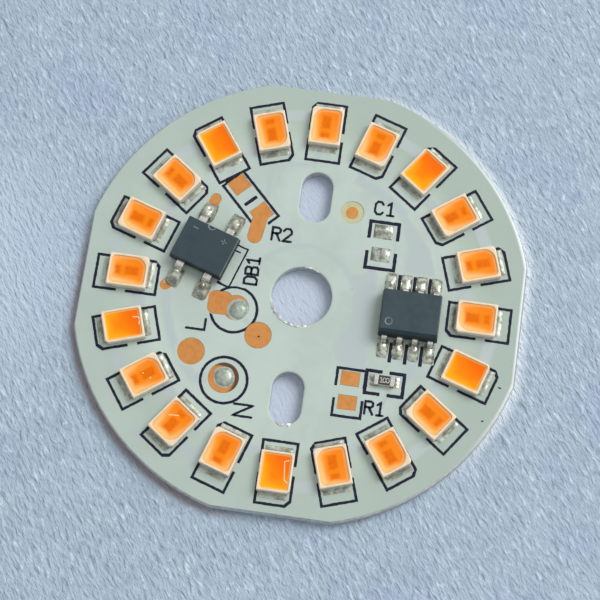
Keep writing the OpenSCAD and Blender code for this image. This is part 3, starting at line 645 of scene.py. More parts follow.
PALE_FILL = PhosphorFinish("pale_fill", "phosphor_pale", srgb(253, 158, 54), srgb(250, 148, 40), patch=1.4,
                           specular=0.1, rough=(0.2, 0.3), depth=0.01, grain=2.2, fine=14.0, fine_share=0.15,
                           blots=(VIVID, *OVER_DIES))
# The deep fill's own painted light and shade, pale and ruddy.
DEEP_FILL = PhosphorFinish("deep_fill", "phosphor_deep", srgb(254, 134, 0), srgb(252, 127, 0),
                           specular=0.12, rough=(0.1, 0.16), depth=0.006, grain=1.8, fine=12.0,
                           fine_share=0.1, pale=Tone(srgb(255, 174, 24), (1.0, -0.5)),
                           ruddy=Tone(srgb(246, 106, 0), (-0.3, 0.9), 0.9),
                           edge=Tone(srgb(244, 192, 118), (0.2, 0.02)))
# Pale colour of the painted highlights on the fills.
FILL_HIGHLIGHT = Finish("fill_highlight", "phosphor_pale", srgb(255, 226, 180), srgb(252, 208, 150), patch=6.0,
                   rough=(0.15, 0.25))
FRAME_PLATE = Finish("plated_frame", "plated_frame", srgb(196, 194, 184), srgb(160, 156, 144), patch=5.0,
                     rough=(0.25, 0.4), metallic=0.8)
DIE = Finish("led_die", "led_die", srgb(232, 168, 58), srgb(210, 140, 40), patch=5.0)
SOLDER = Finish("dull_solder", "solder", srgb(208, 212, 198), srgb(130, 127, 112), patch=1.3,
                contrast=(0.36, 0.68), rough=(0.2, 0.34), metallic=0.75, depth=0.03, grain=2.0, fine=7.0,
                fine_share=0.2)
BRIGHT_SOLDER = Finish("bright_solder", "solder", srgb(214, 220, 206), srgb(140, 139, 123), patch=2.6,
                       contrast=(0.42, 0.62), rough=(0.2, 0.3), metallic=0.7, depth=0.03, grain=2.4, fine=8.0,
                       fine_share=0.2)
TOE_SOLDER = Finish("toe_solder", "solder", srgb(190, 196, 184), srgb(134, 134, 118), patch=1.4,
                    metallic=0.65, depth=0.03, grain=2.0, fine=7.0, fine_share=0.25)
BEAD = Finish("wire_bead", "solder", srgb(174, 184, 172), srgb(140, 148, 136), patch=1.8, rough=(0.36, 0.5),
              metallic=0.3, depth=0.04, grain=2.2, fine=8.0, fine_share=0.25)
SPARE_TIN = Finish("spare_tin", "solder", srgb(188, 194, 182), srgb(116, 118, 106), patch=1.6,
                   contrast=(0.4, 0.6), rough=(0.26, 0.4), metallic=0.5, depth=0.04, grain=2.4, fine=8.0,
                   fine_share=0.2)
MOULDING = MouldingFinish("dark_moulding", "dark_moulding", srgb(38, 60, 67), srgb(32, 53, 60), patch=1.0,
                          rough=(0.42, 0.54), specular=0.45, depth=0.006, grain=16.0, fine=45.0,
                          fine_share=0.6)
# Pale colour of the rectifier's signs, and of the painted highlights on the rims of moulded marks.
MARKING_AND_HIGHLIGHT = Finish("pale_marking_and_highlight", "dark_moulding", srgb(116, 130, 128), srgb(92, 106, 106), patch=6.0,
                 contrast=(0.3, 0.7))
TIN = Finish("tinned_lead", "tinned_lead", srgb(224, 224, 218), srgb(190, 188, 178), patch=3.0,
             rough=(0.18, 0.32), metallic=0.9, depth=0.008, grain=6.0)
CERAMIC = Finish("white_ceramic", "resistor_ceramic", srgb(233, 231, 222), srgb(220, 216, 204), patch=3.0)
OVERCOAT = Finish("black_overcoat", "resistor_overcoat", srgb(52, 50, 48), srgb(40, 40, 42), patch=3.0,
                  rough=(0.3, 0.42), depth=0.005)
VALUE_INK = Finish("value_ink", "resistor_overcoat", srgb(206, 204, 196), srgb(180, 178, 168), patch=8.0)
PAPER = PaperFinish("pale_floor", "", srgb(176, 193, 208), srgb(170, 187, 202), patch=0.3, rough=(0.85, 0.95),
                    specular=0.15, depth=0.36, grain=2.8, fine=8.0, fine_share=0.3, stretch=(1.0, 0.36, 1.0),
                    turn=145.0)


# Meshes


@dataclass(frozen=True)
class Place:
    """A spot on the board, with a turn in degrees."""

    x: float
    y: float
    turn: float = 0.0

    def at(self, x: float, y: float, z: float) -> Point3:
        """Point of the board that lies at x, y, z from this place."""
        c, s = math.cos(math.radians(self.turn)), math.sin(math.radians(self.turn))
        return self.x + x * c - y * s, self.y + x * s + y * c, z

    def child(self, x: float, y: float, turn: float = 0.0) -> "Place":
        """Place that lies at x, y from this one and is turned further."""
        there = self.at(x, y, 0.0)
        return Place(there[0], there[1], self.turn + turn)


@dataclass
class Shape:
    """A mesh in the making: points in millimetres, faces, and vectors kept with the points."""

    points: list[Point3] = field(default_factory=list)
    faces: list[tuple[int, ...]] = field(default_factory=list)
    notes: dict[str, list[Point3]] = field(default_factory=dict)

    def rows(self, rows: Sequence[Sequence[Point3]], loop: bool = False, cap: bool = False) -> None:
        """Adds a sheet of quads through rows of points.

        Args:
            rows: The rows, each with as many points as the others.
            loop: Whether each row closes on itself.
            cap: Whether one face closes the last row.
        """
        start, wide = len(self.points), len(rows[0])
        for row in rows:
            self.points.extend(row)
        for r in range(len(rows) - 1):
            for c in range(wide if loop else wide - 1):
                a, b = start + r * wide + c, start + r * wide + (c + 1) % wide
                self.faces.append((a, b, b + wide, a + wide))
        if cap:
            self.faces.append(tuple(range(len(self.points) - wide, len(self.points))))

    def piece(self, name: str, finish: Finish, *nodes: str, crease: float = 40.0) -> None:
        """Adds the shape as a piece that may stand for CAD nodes, with edges sharp above the crease."""
        add_piece(name, self.mesh(name, crease), finish, *nodes)

    def mesh(self, name: str, crease: float = 40.0) -> bpy.types.Mesh:
        """Makes the mesh.

        Args:
            name: Its name.
            crease: Angle in degrees above which an edge stays sharp.

        Returns:
            The mesh, in metres.
        """
        mesh = bpy.data.meshes.new(name)
        mesh.from_pydata([(x * MM, y * MM, z * MM) for x, y, z in self.points], [], self.faces)
        for note, vectors in self.notes.items():
            kept = mesh.attributes.new(note, "FLOAT_VECTOR", "POINT")
            kept.data.foreach_set("vector", [part for vector in vectors for part in vector])
        mesh.shade_smooth()
        mesh.set_sharp_from_angle(angle=math.radians(crease))
        return mesh


def add_object(name: str, data: bpy.types.ID) -> bpy.types.Object:
    """Adds an object to the scene.

    Args:
        name: Its name.
        data: Its mesh, lamp or lens.

    Returns:
        The object.
    """
    made = bpy.data.objects.new(name, data)
    bpy.context.scene.collection.objects.link(made)
    return made


def add_piece(name: str, mesh: bpy.types.Mesh, finish: Finish, *nodes: str) -> None:
    """Adds a piece that rides on the board.

    Args:
        name: Its name.
        mesh: Its mesh.
        finish: Its finish.
        *nodes: CAD nodes that it stands for.
    """
    piece = add_object(name, mesh)
    mesh.materials.append(finish.make())
    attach(piece, BODY)
    if nodes:
        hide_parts(*nodes)
    LOG.info("piece %s: %d faces", name, len(mesh.polygons))


def dress_node(name: str, finish: Finish, bevel: float = 0.0) -> None:
    """Gives a CAD node its finish.

    Args:
        name: The node.
        finish: Its finish.
        bevel: Width to which its sharp edges are rounded, or 0.
    """
    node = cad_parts[name]
    node.data.materials.clear()
    node.data.materials.append(finish.make())
    if bevel:
        weld = node.modifiers.new("weld", "WELD")
        weld.merge_threshold = WELD * MM
        flat = node.modifiers.new("flat", "DECIMATE")
        flat.decimate_type, flat.angle_limit = "DISSOLVE", math.radians(FLAT_DEGREES)
        soft = node.modifiers.new("soft", "BEVEL")
        soft.width, soft.segments, soft.limit_method = bevel * MM, BEVEL_STEPS, "ANGLE"
        soft.angle_limit, soft.harden_normals = math.radians(EDGE_DEGREES), True
    LOG.info("node %s: %s", name, finish.name)


def rounded(corners: Sequence[Point2], radius: float, steps: int) -> list[Point2]:
    """Rounds the corners of a convex outline.

    Args:
        corners: Its sharp corners, counter-clockwise.
        radius: How far from each corner the curve starts.
        steps: Steps round each corner.

    Returns:
        The outline's points.
    """
    outline: list[Point2] = []
    for k, corner in enumerate(corners):
        here = Vector(corner)
        ends = []
        for other in (corners[k - 1], corners[(k + 1) % len(corners)]):
            away = Vector(other) - here
            ends.append(here + away.normalized() * min(radius, away.length * SIDE_SHARE))
        for s in shares(steps):
            point = ends[0] * (1 - s) ** 2 + here * 2 * s * (1 - s) + ends[1] * s ** 2
            outline.append((point.x, point.y))
    return outline


def cut_rectangle(width: float, length: float, cut: float) -> list[Point2]:
    """Corners of a rectangle whose corner at -x, +y is cut off."""
    x, y = width / 2, length / 2
    return [(x, -y), (x, y), (-x + cut, y), (-x, y - cut), (-x, -y)]


def open_faces(name: str, kept: Callable[[bmesh.types.BMFace], bool]) -> bmesh.types.BMesh:
    """Opens a copy of some faces of a CAD node.

    Args:
        name: The node.
        kept: Test that tells which faces stay.

    Returns:
        The open mesh.
    """
    bm = bmesh.new()
    bm.from_mesh(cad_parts[name].data)
    bmesh.ops.remove_doubles(bm, verts=bm.verts[:], dist=SAME * MM)
    bmesh.ops.delete(bm, geom=[f for f in bm.faces if not kept(f)], context="FACES")
    return bm


def split_long(bm: bmesh.types.BMesh, longest: float, rim_only: bool = False) -> None:
    """Splits the edges of a flat mesh until none is longer than a limit.

    Args:
        bm: The mesh.
        longest: The limit, in millimetres.
        rim_only: Whether only the edges along its rim are split.
    """
    long = list(bm.edges)
    while long:
        long = [e for e in bm.edges if e.calc_length() > longest * MM and (e.is_boundary or not rim_only)]
        bmesh.ops.subdivide_edges(bm, edges=long, cuts=1)
        if not rim_only:
            bmesh.ops.triangulate(bm, faces=[f for f in bm.faces if len(f.verts) > 3])


def close_mesh(bm: bmesh.types.BMesh, name: str) -> bpy.types.Mesh:
    """Closes an open mesh.

    Args:
        bm: The open mesh.
        name: Name of the mesh that is kept.

    Returns:
        The kept mesh.
    """
    mesh = bpy.data.meshes.new(name)
    bm.to_mesh(mesh)
    bm.free()
    return mesh


# Board


@dataclass
class Board:
    """The plate with its coats, copper, punched edges and print."""

    hole_r: float = 2.5
    slot_w: float = 2.6
    slot_l: float = 4.4
    slot_pitch: float = 17.4
    # Rings of the resist's lips: how far out from the hole, and how far down.
    lip_rings: tuple[Band, ...] = (
        (0.22, -0.0015), (0.12, 0.002), (0.06, 0.012), (0.03, 0.035), (0.012, 0.08), (0.006, 0.17))
    lip_sag: float = 0.02
    # Rows of the punch's burrs: how far out from the hole, how uneven, and how far up.
    burr_rows: tuple[Point3, ...] = (
        (0.2, 0.05, -0.004), (0.07, 0.12, 0.035), (-0.01, 0.16, 0.03), (-0.03, 0.1, -0.12))
    burr_top: float = 0.07
    burr_sink: float = 0.03
    burr_rough: float = 0.05
    burr_fade: float = 5.0
    rim_step: float = 0.12
    sheet_step: float = 0.3
    print_step: float = 0.16
    relief_lift: float = 0.001
    relief_rise: float = 0.008
    relief_slope: float = 0.2
    tint_slope: float = 0.35
    print_flat: float = 0.02
    print_jitter: float = 0.028
    print_off: Point2 = (0.06, -0.04)
    print_grow: float = 0.015
    thin_grow: float = -0.03
    thin_low: Point2 = (-6.8, 0.05)
    thin_high: Point2 = (-3.5, 4.6)

    def build(self) -> None:
        """Builds the relief over the copper runs, the edges of the holes and the ragged print."""
        self.build_relief()
        self.build_lips()
        self.build_burrs()
        self.build_print()

    def dress(self) -> None:
        """Gives the board's CAD nodes their finishes."""
        dress_node("base_plate", ALUMINIUM)
        dress_node("insulation", RESIN)
        dress_node("copper_foil", COPPER)
        dress_node("solder_mask", MASK)

    @staticmethod
    def is_roof(face: bmesh.types.BMFace) -> bool:
        """Whether a face of the resist is the roof of a copper run's channel."""
        off = abs(face.calc_center_median().z - Z_COPPER * MM)
        return face.normal.z <= -LEVEL and off <= NEAR * MM

    def build_relief(self) -> None:
        """Raises the resist a little over the copper runs, as a sheet made from their channels' roofs."""
        bm = open_faces("solder_mask", self.is_roof)
        bmesh.ops.reverse_faces(bm, faces=bm.faces[:])
        split_long(bm, self.rim_step, rim_only=True)
        bmesh.ops.triangulate(bm, faces=bm.faces[:])
        split_long(bm, self.sheet_step)
        rim = [v.co.copy() for v in bm.verts if v.is_boundary]
        near = KDTree(len(rim))
        for k, co in enumerate(rim):
            near.insert(co, k)
        near.balance()
        over = bm.verts.layers.float_vector.new("over_copper")
        for v in bm.verts:
            inward = near.find(v.co)[2] / MM
            v[over] = (eased(inward / self.tint_slope), eased(inward / self.relief_slope), 0.0)
        for v in bm.verts:
            v.co.z = (Z_MASK + self.relief_lift + self.relief_rise * v[over][1]) * MM
        mesh = close_mesh(bm, "resist_over_runs")
        mesh.shade_smooth()
        add_piece(mesh.name, mesh, MASK)

    def ring(self, y: float, grow: float) -> list[Point2]:
        """Draws the edge of the centre hole, or of a slot.

        Args:
            y: Where its middle lies: 0 for the hole.
            grow: How far outward the edge is moved.

        Returns:
            The edge's points.
        """
        radius, straight = (self.slot_w / 2, (self.slot_l - self.slot_w) / 2) if y else (self.hole_r, 0.0)
        r = radius + grow
        return [(r * math.cos(a), y + r * math.sin(a) + math.copysign(straight, math.sin(a)))
                for a in turns(120, 0.5 if y else 0.0)]

    def build_lips(self) -> None:
        """Draws the resist down over the rounded edge of each hole."""
        shape = Shape()
        for y in (0.0, self.slot_pitch / 2, -self.slot_pitch / 2):
            rows = []
            for grow, drop in self.lip_rings:
                sag = self.lip_sag if drop > 0 else 0.0
                rows.append([(px, py, Z_MASK - drop - sag * max(0.0, wobble(px * 3, py * 3, 18.0)))
                             for px, py in self.ring(y, grow)])
            shape.rows(rows, loop=True)
        shape.piece("resist_lips", MASK, crease=60)

    def build_burrs(self) -> None:
        """Raises the crumpled metal that the punch left along parts of the holes."""
        shape = Shape()
        slot_end = -(self.slot_pitch + self.slot_l - self.slot_w) / 2
        # Each burr: middle and radius of its arc, its first and last angle, and its size.
        for y, r, first, last, size in ((0.0, self.hole_r, 190, 292, 1.5),
                                        (slot_end, self.slot_w / 2, 238, 300, 1.2),
                                        (0.0, self.hole_r, 62, 92, 0.5)):
            rows: list[list[Point3]] = [[] for _ in self.burr_rows]
            for t in shares(round((last - first) * r * 0.35)):
                angle = math.radians(first + (last - first) * t)
                amount = size * min(1.0, self.burr_fade * t, self.burr_fade * (1 - t))
                spot = angle * r * 3.2
                for row, (grow, reach, rise) in zip(rows, self.burr_rows):
                    out = r + grow + reach * amount * wobble(spot, grow * 9, 19.0)
                    rough = self.burr_rough * wobble(spot * 1.3, grow * 9, 20.0)
                    up = min(amount * (rise + rough) - self.burr_sink * (1 - amount), self.burr_top)
                    row.append((out * math.cos(angle), y + out * math.sin(angle), Z_MASK + up))
            shape.rows(rows)
        shape.piece("punch_burrs", BURR, crease=30)

    @staticmethod
    def outward(vert: bmesh.types.BMVert) -> Vector:
        """Finds the way out of a flat mesh at a point of its rim.

        Args:
            vert: The point.

        Returns:
            The way, or nothing at a point within the mesh.
        """
        way = Vector()
        for edge in vert.link_edges:
            if edge.is_boundary:
                along = edge.verts[1].co - edge.verts[0].co
                sign = 1 if edge.link_loops[0].vert is edge.verts[0] else -1
                way += along.cross(Vector((0, 0, 1))).normalized() * sign
        return way.normalized()

    def build_print(self) -> None:
        """Takes the upper face of the CAD print and gives its lines uneven edges."""
        bm = open_faces("print", lambda face: face.normal.z >= LEVEL)
        bmesh.ops.dissolve_limit(bm, angle_limit=self.print_flat, verts=bm.verts[:], edges=bm.edges[:])
        split_long(bm, self.print_step, rim_only=True)
        bm.normal_update()
        ways = [self.outward(v) for v in bm.verts]
        for v, way in zip(bm.verts, ways):
            x, y = v.co.x / MM, v.co.y / MM
            thin = self.thin_low[0] < x < self.thin_high[0] and self.thin_low[1] < y < self.thin_high[1]
            v.co += way * (self.thin_grow if thin else self.print_grow) * MM
            v.co.x += (self.print_off[0] + self.print_jitter * wobble(x * 4.5, y * 4.5, 5.0)) * MM
            v.co.y += (self.print_off[1] + self.print_jitter * wobble(x * 4.5, y * 4.5, 6.0)) * MM
        bmesh.ops.triangulate(bm, faces=bm.faces[:])
        mesh = close_mesh(bm, "printed_outlines")
        add_piece(mesh.name, mesh, INK, "print")


# Lettering


# Strokes of each sign, in shares of its height, and the signs' width.
SIGN_W = 0.62
STROKES: dict[str, tuple[tuple[Point2, ...], ...]] = {
    "L": (((0, 1), (0, 0), (0.62, 0)),),
    "N": (((0, 0), (0, 1), (0.62, 0), (0.62, 1)),),
    "R": (((0, 0), (0, 1), (0.45, 1), (0.6, 0.88), (0.6, 0.66), (0.45, 0.54), (0, 0.54)),
          ((0.3, 0.54), (0.62, 0))),
    "D": (((0, 0), (0, 1), (0.4, 1), (0.6, 0.8), (0.6, 0.2), (0.4, 0), (0, 0)),),
    "B": (((0.42, 0.54), (0, 0.54), (0, 1), (0.42, 1), (0.57, 0.9), (0.57, 0.64), (0.42, 0.54), (0.6, 0.42),
           (0.6, 0.12), (0.42, 0), (0, 0), (0, 0.54)),),
    "C": (((0.6, 0.82), (0.45, 1), (0.18, 1), (0, 0.8), (0, 0.2), (0.18, 0), (0.45, 0), (0.6, 0.18)),),
    "0": (((0.3, 1), (0.1, 0.9), (0, 0.65), (0, 0.35), (0.1, 0.1), (0.3, 0), (0.5, 0.1), (0.6, 0.35),
           (0.6, 0.65), (0.5, 0.9), (0.3, 1)),),
    "1": (((0.1, 0.8), (0.34, 1), (0.34, 0)), ((0.1, 0), (0.58, 0))),
    "2": (((0, 0.8), (0.15, 1), (0.45, 1), (0.6, 0.82), (0.6, 0.62), (0, 0), (0.62, 0)),),
    "+": (((0, 0.5), (0.6, 0.5)), ((0.3, 0.2), (0.3, 0.8))),
    "-": (((0, 0.5), (0.6, 0.5)),),
}


@dataclass
class Lettering:
    """Plain marks drawn with a round pen: designators, wire letters, signs and a value."""

    pen: float
    low: float
    high: float
    jitter: float = 0.0
    shape: Shape = field(default_factory=Shape)
    # Shares of the pen's width: how far a stroke runs past its ends, its steps, and its narrow ends.
    past: float = 0.45
    step: float = 0.6
    end: float = 0.7
    # Least cosine by which a bend widens the stroke.
    bend: float = 0.6

    def stroke(self, path: Sequence[Point2]) -> None:
        """Draws one stroke.

        Args:
            path: Points on the board that it goes through.
        """
        points = [Vector(p) for p in path]
        lead_in = (points[0] - points[1]).normalized() * self.pen * self.past
        lead_out = (points[-1] - points[-2]).normalized() * self.pen * self.past
        points[0], points[-1] = points[0] + lead_in, points[-1] + lead_out
        line = [points[0]]
        for a, b in zip(points, points[1:]):
            steps = max(1, round((b - a).length / (self.pen * self.step)))
            line += [a.lerp(b, s) for s in shares(steps)[1:]]
        rows = []
        for k, p in enumerate(line):
            before = (p - line[k - 1]).normalized() if k else (line[1] - p).normalized()
            after = (line[k + 1] - p).normalized() if k < len(line) - 1 else before
            along = (before + after).normalized()
            half = self.pen / 2 / max(self.bend, along.dot(after))
            if k in (0, len(line) - 1):
                half *= self.end
            side = Vector((-along.y, along.x))
            left = p + side * (half + self.jitter * wobble(p.x * 5, p.y * 5, 7.0))
            right = p - side * (half + self.jitter * wobble(p.x * 5, p.y * 5, 8.0))
            rows.append([(*left, self.low), (*left, self.high), (*right, self.high), (*right, self.low)])
        self.shape.rows(rows)

    def word(self, text: str, place: Place, height: float, pitch: float = 0.0) -> None:
        """Draws a word.

        Args:
            text: Its signs.
            place: Middle of its first sign, and its turn.
            height: Height of the signs.
            pitch: Distance between the middles of signs.
        """
        for k, sign in enumerate(text):
            for path in STROKES[sign]:
                spots = [((x - SIGN_W / 2) * height + k * pitch, (y - 0.5) * height) for x, y in path]
                self.stroke([place.at(x, y, 0)[:2] for x, y in spots])


@dataclass
class BoardLettering:
    """The letters printed beside the lands and parts of the board."""

    pen: float = 0.2
    fine_pen: float = 0.13
    # Each word: its signs, its place, and the height and pitch of its signs.
    words: tuple[tuple[str, Place, float, float], ...] = (
        ("R2", Place(-2.85, 5.05), 1.1, 0.95), ("C1", Place(5.4, 8.5), 1.1, 0.95),
        ("R1", Place(6.75, -8.55), 1.05, 0.9), ("DB1", Place(-4.4, 0.75, 90), 1.05, 0.85),
        ("L", Place(-8.3, -3.52, 90), 1.5, 0.0), ("N", Place(-3.4, -10.22, 90), 1.55, 0.0))
    strays: tuple[tuple[Point2, Point2], ...] = (
        ((-6.1, 3.15), (-5.6, 3.0)), ((17.05, -5.4), (17.18, -5.43)), ((16.0, -8.35), (16.06, -8.35)),
        ((-3.03, -3.9), (-3.0, -3.9)))

    def build(self) -> None:
        """Draws the words and a few stray specks in the board's ink."""
        letters = Lettering(self.pen, Z_MASK, Z_INK, jitter=0.03)
        for word in self.words:
            letters.word(*word)
        specks = Lettering(self.fine_pen, Z_COPPER, Z_INK, jitter=0.02, shape=letters.shape)
        for stray in self.strays:
            specks.stroke(stray)
        letters.shape.piece("printed_letters", INK)


# Solder


@dataclass(frozen=True)
class Toe:
    """A hollow fillet of solder from the end of a part, in +y, out to the edge of its land."""

    reach: float
    width: float
    run: float
    climb: float
    skin: float = 0.03
    hollow: float = 3.2
    lump: float = 0.5
    uneven: Band = (0.85, 0.6)

    def add(self, shape: Shape, place: Place, seed: float) -> None:
        """Adds the fillet to a mesh.

        Args:
            shape: The mesh.
            place: Middle of the part.
            seed: Picks its unevenness.
        """
        climb = self.climb * (self.uneven[0] + self.uneven[1] * wobble(seed * 1.7, 3.1, 21.0))
        rows = []
        for t in shares(9):
            row = []
            for s in shares(18):
                v = 2 * s - 1
                side = math.sqrt(max(0.0, 1 - abs(v) ** 6))
                lump = 1 + self.lump * wobble(v * 2.6, seed, 11.0)
                rise = self.skin * (1 - t ** 3) + climb * lump * (1 - t) ** self.hollow
                row.append(place.at(v * self.width / 2, self.reach + self.run * t, Z_SOLDER + side * rise))
            rows.append(row)
        shape.rows(rows)


@dataclass(frozen=True)
class Mound:
    """A mound of solder along +x, over a lead's foot or a bare land."""

    start: float
    end: float
    width: float
    height: float
    peak: float
    waver: float = 0.04
    lump: float = 0.22
    sink: float = 0.001

    def add(self, shape: Shape, place: Place, seed: float) -> None:
        """Adds the mound and the film under it to a mesh.

        Args:
            shape: The mesh.
            place: Where its start and end are measured from.
            seed: Picks its unevenness.
        """
        side, ends = self.width / 2, (self.start, self.end)
        shape.rows([[place.at(x, y, Z_SOLDER - self.sink) for y in (side, -side)] for x in ends])
        rows = []
        for t in shares(18):
            x = self.start + (self.end - self.start) * t
            half = side * (0.5 + 0.5 * max(0.0, 1 - abs(2 * t - 1) ** 5) ** 0.5)
            half *= 1 + self.waver * wobble(x * 2, seed, 13.0)
            far = (t - self.peak) / (self.peak if t < self.peak else 1 - self.peak)
            tall = self.height * max(0.0, 1 - far * far) ** 0.8
            row = []
            for s in shares(14):
                v = 1 - 2 * s
                lump = 1 + self.lump * wobble(x * 2.4, v * half * 2.4 + seed * 5, 14.0)
                rise = tall * lump * max(0.0, 1 - abs(v) ** 2.4) ** 0.65
                row.append(place.at(x, v * half, Z_SOLDER + rise))
            rows.append(row)
        shape.rows(rows)


@dataclass(frozen=True)
class Bead:
    """An uneven bead of solder, round in plan, with a thin film round its foot."""

    radius: float
    height: float
    film: float
    waver: float = 0.07
    lump: float = 0.16
    sink: float = 0.002

    def add(self, shape: Shape, place: Place, seed: float) -> None:
        """Adds the bead to a mesh.

        Args:
            shape: The mesh.
            place: Its middle.
            seed: Picks its unevenness.
        """
        film = self.film / self.radius
        profile = [(1 + film, 0.0), (1 + 0.25 * film, 0.02)]
        profile += [(1 - t, (1 - (1 - t) ** 2.6) ** 0.7) for t in shares(12)[:-1]]
        rows = []
        for s, tall in profile:
            row = []
            for angle in turns(40):
                x, y = math.cos(angle), math.sin(angle)
                r = self.radius * s * (1 + self.waver * wobble(x * 1.3, y * 1.3, seed))
                lump = 1 + self.lump * wobble(x * s * 2, y * s * 2, seed + 3)
                row.append(place.at(r * x, r * y, Z_SOLDER - self.sink + self.height * lump * tall))
            rows.append(row)
        shape.rows(rows, loop=True, cap=True)


# LEDs


# How much shorter a cut corner gets for each millimetre that its outline is drawn in.
CUT_SHRINK = 0.586


class DieCount(Enum):
    """How many dies light a package, which decides its window and fill."""

    ONE = 1
    TWO = 2


# Cut corner and rounding of the window.
WINDOW_CORNERS = {DieCount.ONE: (0.1, 0.3), DieCount.TWO: (0.56, 0.44)}


@dataclass
class Led:
    """One LED: a moulded housing with a leaning cup, and the fill in the cup."""

    number: int
    place: Place
    dies: DieCount
    length: float = 3.3
    width: float = 2.72
    height: float = 0.75
    corner_cut: float = 0.22
    corner_r: float = 0.07
    rim: float = 0.17
    least_cut: float = 0.04
    least_r: float = 0.12
    patch_shift: Point2 = (0.06, 0.1)
    # Way toward the lamp and reach across the fill, for the fill's painted light and shade.
    light_way: Point2 = (0.72, 0.69)
    light_reach: float = 1.3
    steps: int = 6
    # Rings of the housing, up its outside and down into its cup: inset, height and share of the painted warm
    # light.
    outside: tuple[Point3, ...] = ((0.0, 0.0, 0.0), (0.0, 0.3, 0.0), (0.004, 0.64, 0.0), (0.016, 0.71, 0.05),
                                   (0.05, 0.744, 0.1), (0.09, 0.75, 0.2))
    inside: tuple[Point3, ...] = ((-0.035, 0.748, 0.3), (0.0, 0.735, 0.45), (0.016, 0.69, 0.6),
                                  (0.066, 0.55, 1.0))
    # Rings of the fill, from the wall in: inset and depth below the housing's top.
    fill: tuple[Band, ...] = ((0.026, 0.08), (0.05, 0.1), (0.09, 0.113), (0.15, 0.122), (0.24, 0.128),
                              (0.36, 0.13), (0.5, 0.13), (0.66, 0.128), (0.84, 0.126), (1.02, 0.126))

    @property
    def name(self) -> str:
        """Name that the LED's nodes start with."""
        return f"led_{self.number + 1:02d}"

    def body_outline(self, inset: float) -> list[Point2]:
        """Outside of the housing, drawn in by some amount."""
        sides = [side - 2 * inset for side in (self.width, self.length)]
        return rounded(cut_rectangle(*sides, self.corner_cut - CUT_SHRINK * inset), self.corner_r, self.steps)

    def window_outline(self, inset: float) -> list[Point2]:
        """Draws the edge of the window.

        Args:
            inset: How far it is drawn in.

        Returns:
            The edge's points.
        """
        cut, radius = WINDOW_CORNERS[self.dies]
        sides = [side - 2 * self.rim - 2 * inset for side in (self.width, self.length)]
        corners = cut_rectangle(*sides, max(cut - CUT_SHRINK * inset, self.least_cut))
        return rounded(corners, max(radius - inset, self.least_r), self.steps)

    def build(self) -> None:
        """Builds the housing and the fill."""
        self.build_housing()
        self.build_fill()

    def build_housing(self) -> None:
        """Lofts the housing up its outside, over the rim and down into the cup."""
        rows, painted_glow = [], []
        for outline, rings in ((self.body_outline, self.outside), (self.window_outline, self.inside)):
            for inset, z, warm in rings:
                rows.append([self.place.at(x, y, Z_SEAT + z) for x, y in outline(inset)])
                # Each ring's share of the housing's painted light from the fill.
                painted_glow += [(warm, 0.0, 0.0)] * len(rows[0])
        shape = Shape(notes={"painted_glow": painted_glow})
        shape.rows(rows, loop=True)
        shape.piece(self.name + "_case", HOUSING, self.name + "_housing", crease=50)

    def build_fill(self) -> None:
        """Lofts the fill from the wall in, with a meniscus up the wall."""
        rows, cup, light = [], [], []
        shift = Place(self.patch_shift[0] * wobble(self.number * 2.3, 0.4, 9.0),
                      self.patch_shift[1] * wobble(self.number * 1.7, 0.9, 10.0))
        # Way toward the lamp in the LED's own frame, which sets the fill's painted light and shade.
        way_x, way_y, _ = Place(0, 0, -self.place.turn).at(*self.light_way, 0)
        for inset, drop in self.fill:
            outline = self.window_outline(inset)
            rows.append([self.place.at(x, y, Z_SEAT + self.height - drop) for x, y in outline])
            cup += [shift.at(x, y, 0.0) for x, y in outline]
            light += [((x * way_x + y * way_y) / self.light_reach, inset, 0.0) for x, y in outline]
        shape = Shape(notes={"cup": cup, "light": light})
        shape.rows(rows, loop=True, cap=True)
        finish = PALE_FILL if self.dies is DieCount.TWO else DEEP_FILL
        shape.piece(self.name + "_fill", finish, self.name + "_phosphor")


@dataclass
class LedRing:
    """The ring of LEDs with their lead frames, dies and solder."""

    count: int = 20
    radius: float = 14.72
    slip: float = 0.18
    toe: Toe = Toe(reach=1.72, width=2.26, run=0.42, climb=0.26)
    # Low and high of the painted highlights on the fills, and their pen.
    highlight_low: float = 1.7
    highlight_high: float = 1.735
    highlight_pen: float = 0.07
    # Paths of the painted highlights: pale strokes on a few fills.
    marks: tuple[tuple[Point2, ...], ...] = (
        ((-9.3, -11.56), (-8.85, -11.5), (-8.4, -11.49)), ((-11.88, -8.4), (-11.82, -8.44)),
        ((-11.26, -8.76), (-11.17, -8.7)), ((0.94, -13.89), (0.61, -13.99), (0.79, -15.5), (1.05, -15.7)),
        ((-13.46, -3.88), (-13.03, -3.8), (-12.88, -4.02), (-12.87, -4.4)))

    def place(self, number: int) -> Place:
        """Middle of an LED's housing, its +y toward the marked end."""
        spot = Place(0, 0, -number * 360 / self.count).child(0, self.radius, 180 if number % 2 else 0)
        return spot.child(0, self.slip)

    def build(self) -> None:
        """Builds the LEDs, the solder at their ends and the painted highlights on their fills."""
        solder = Shape()
        for number in range(self.count):
            place = self.place(number)
            Led(number, place, DieCount.ONE if number % 4 == 2 else DieCount.TWO).build()
            for end in (0, 1):
                self.toe.add(solder, place.child(0, 0, 180 * end), number * 2.0 + end)
        solder.piece("led_toes", TOE_SOLDER, "led_solder", crease=75)
        # Pale strokes paint highlights on a few fills.
        glints = Lettering(self.highlight_pen, self.highlight_low, self.highlight_high, jitter=0.02)
        for path in self.marks:
            glints.stroke(path)
        glints.shape.piece("fill_highlights", FILL_HIGHLIGHT)

    def dress(self) -> None:
        """Gives the lead frames and dies their finishes."""
        dress_node("led_frames", FRAME_PLATE)
        dress_node("led_dies", DIE)


# Packages


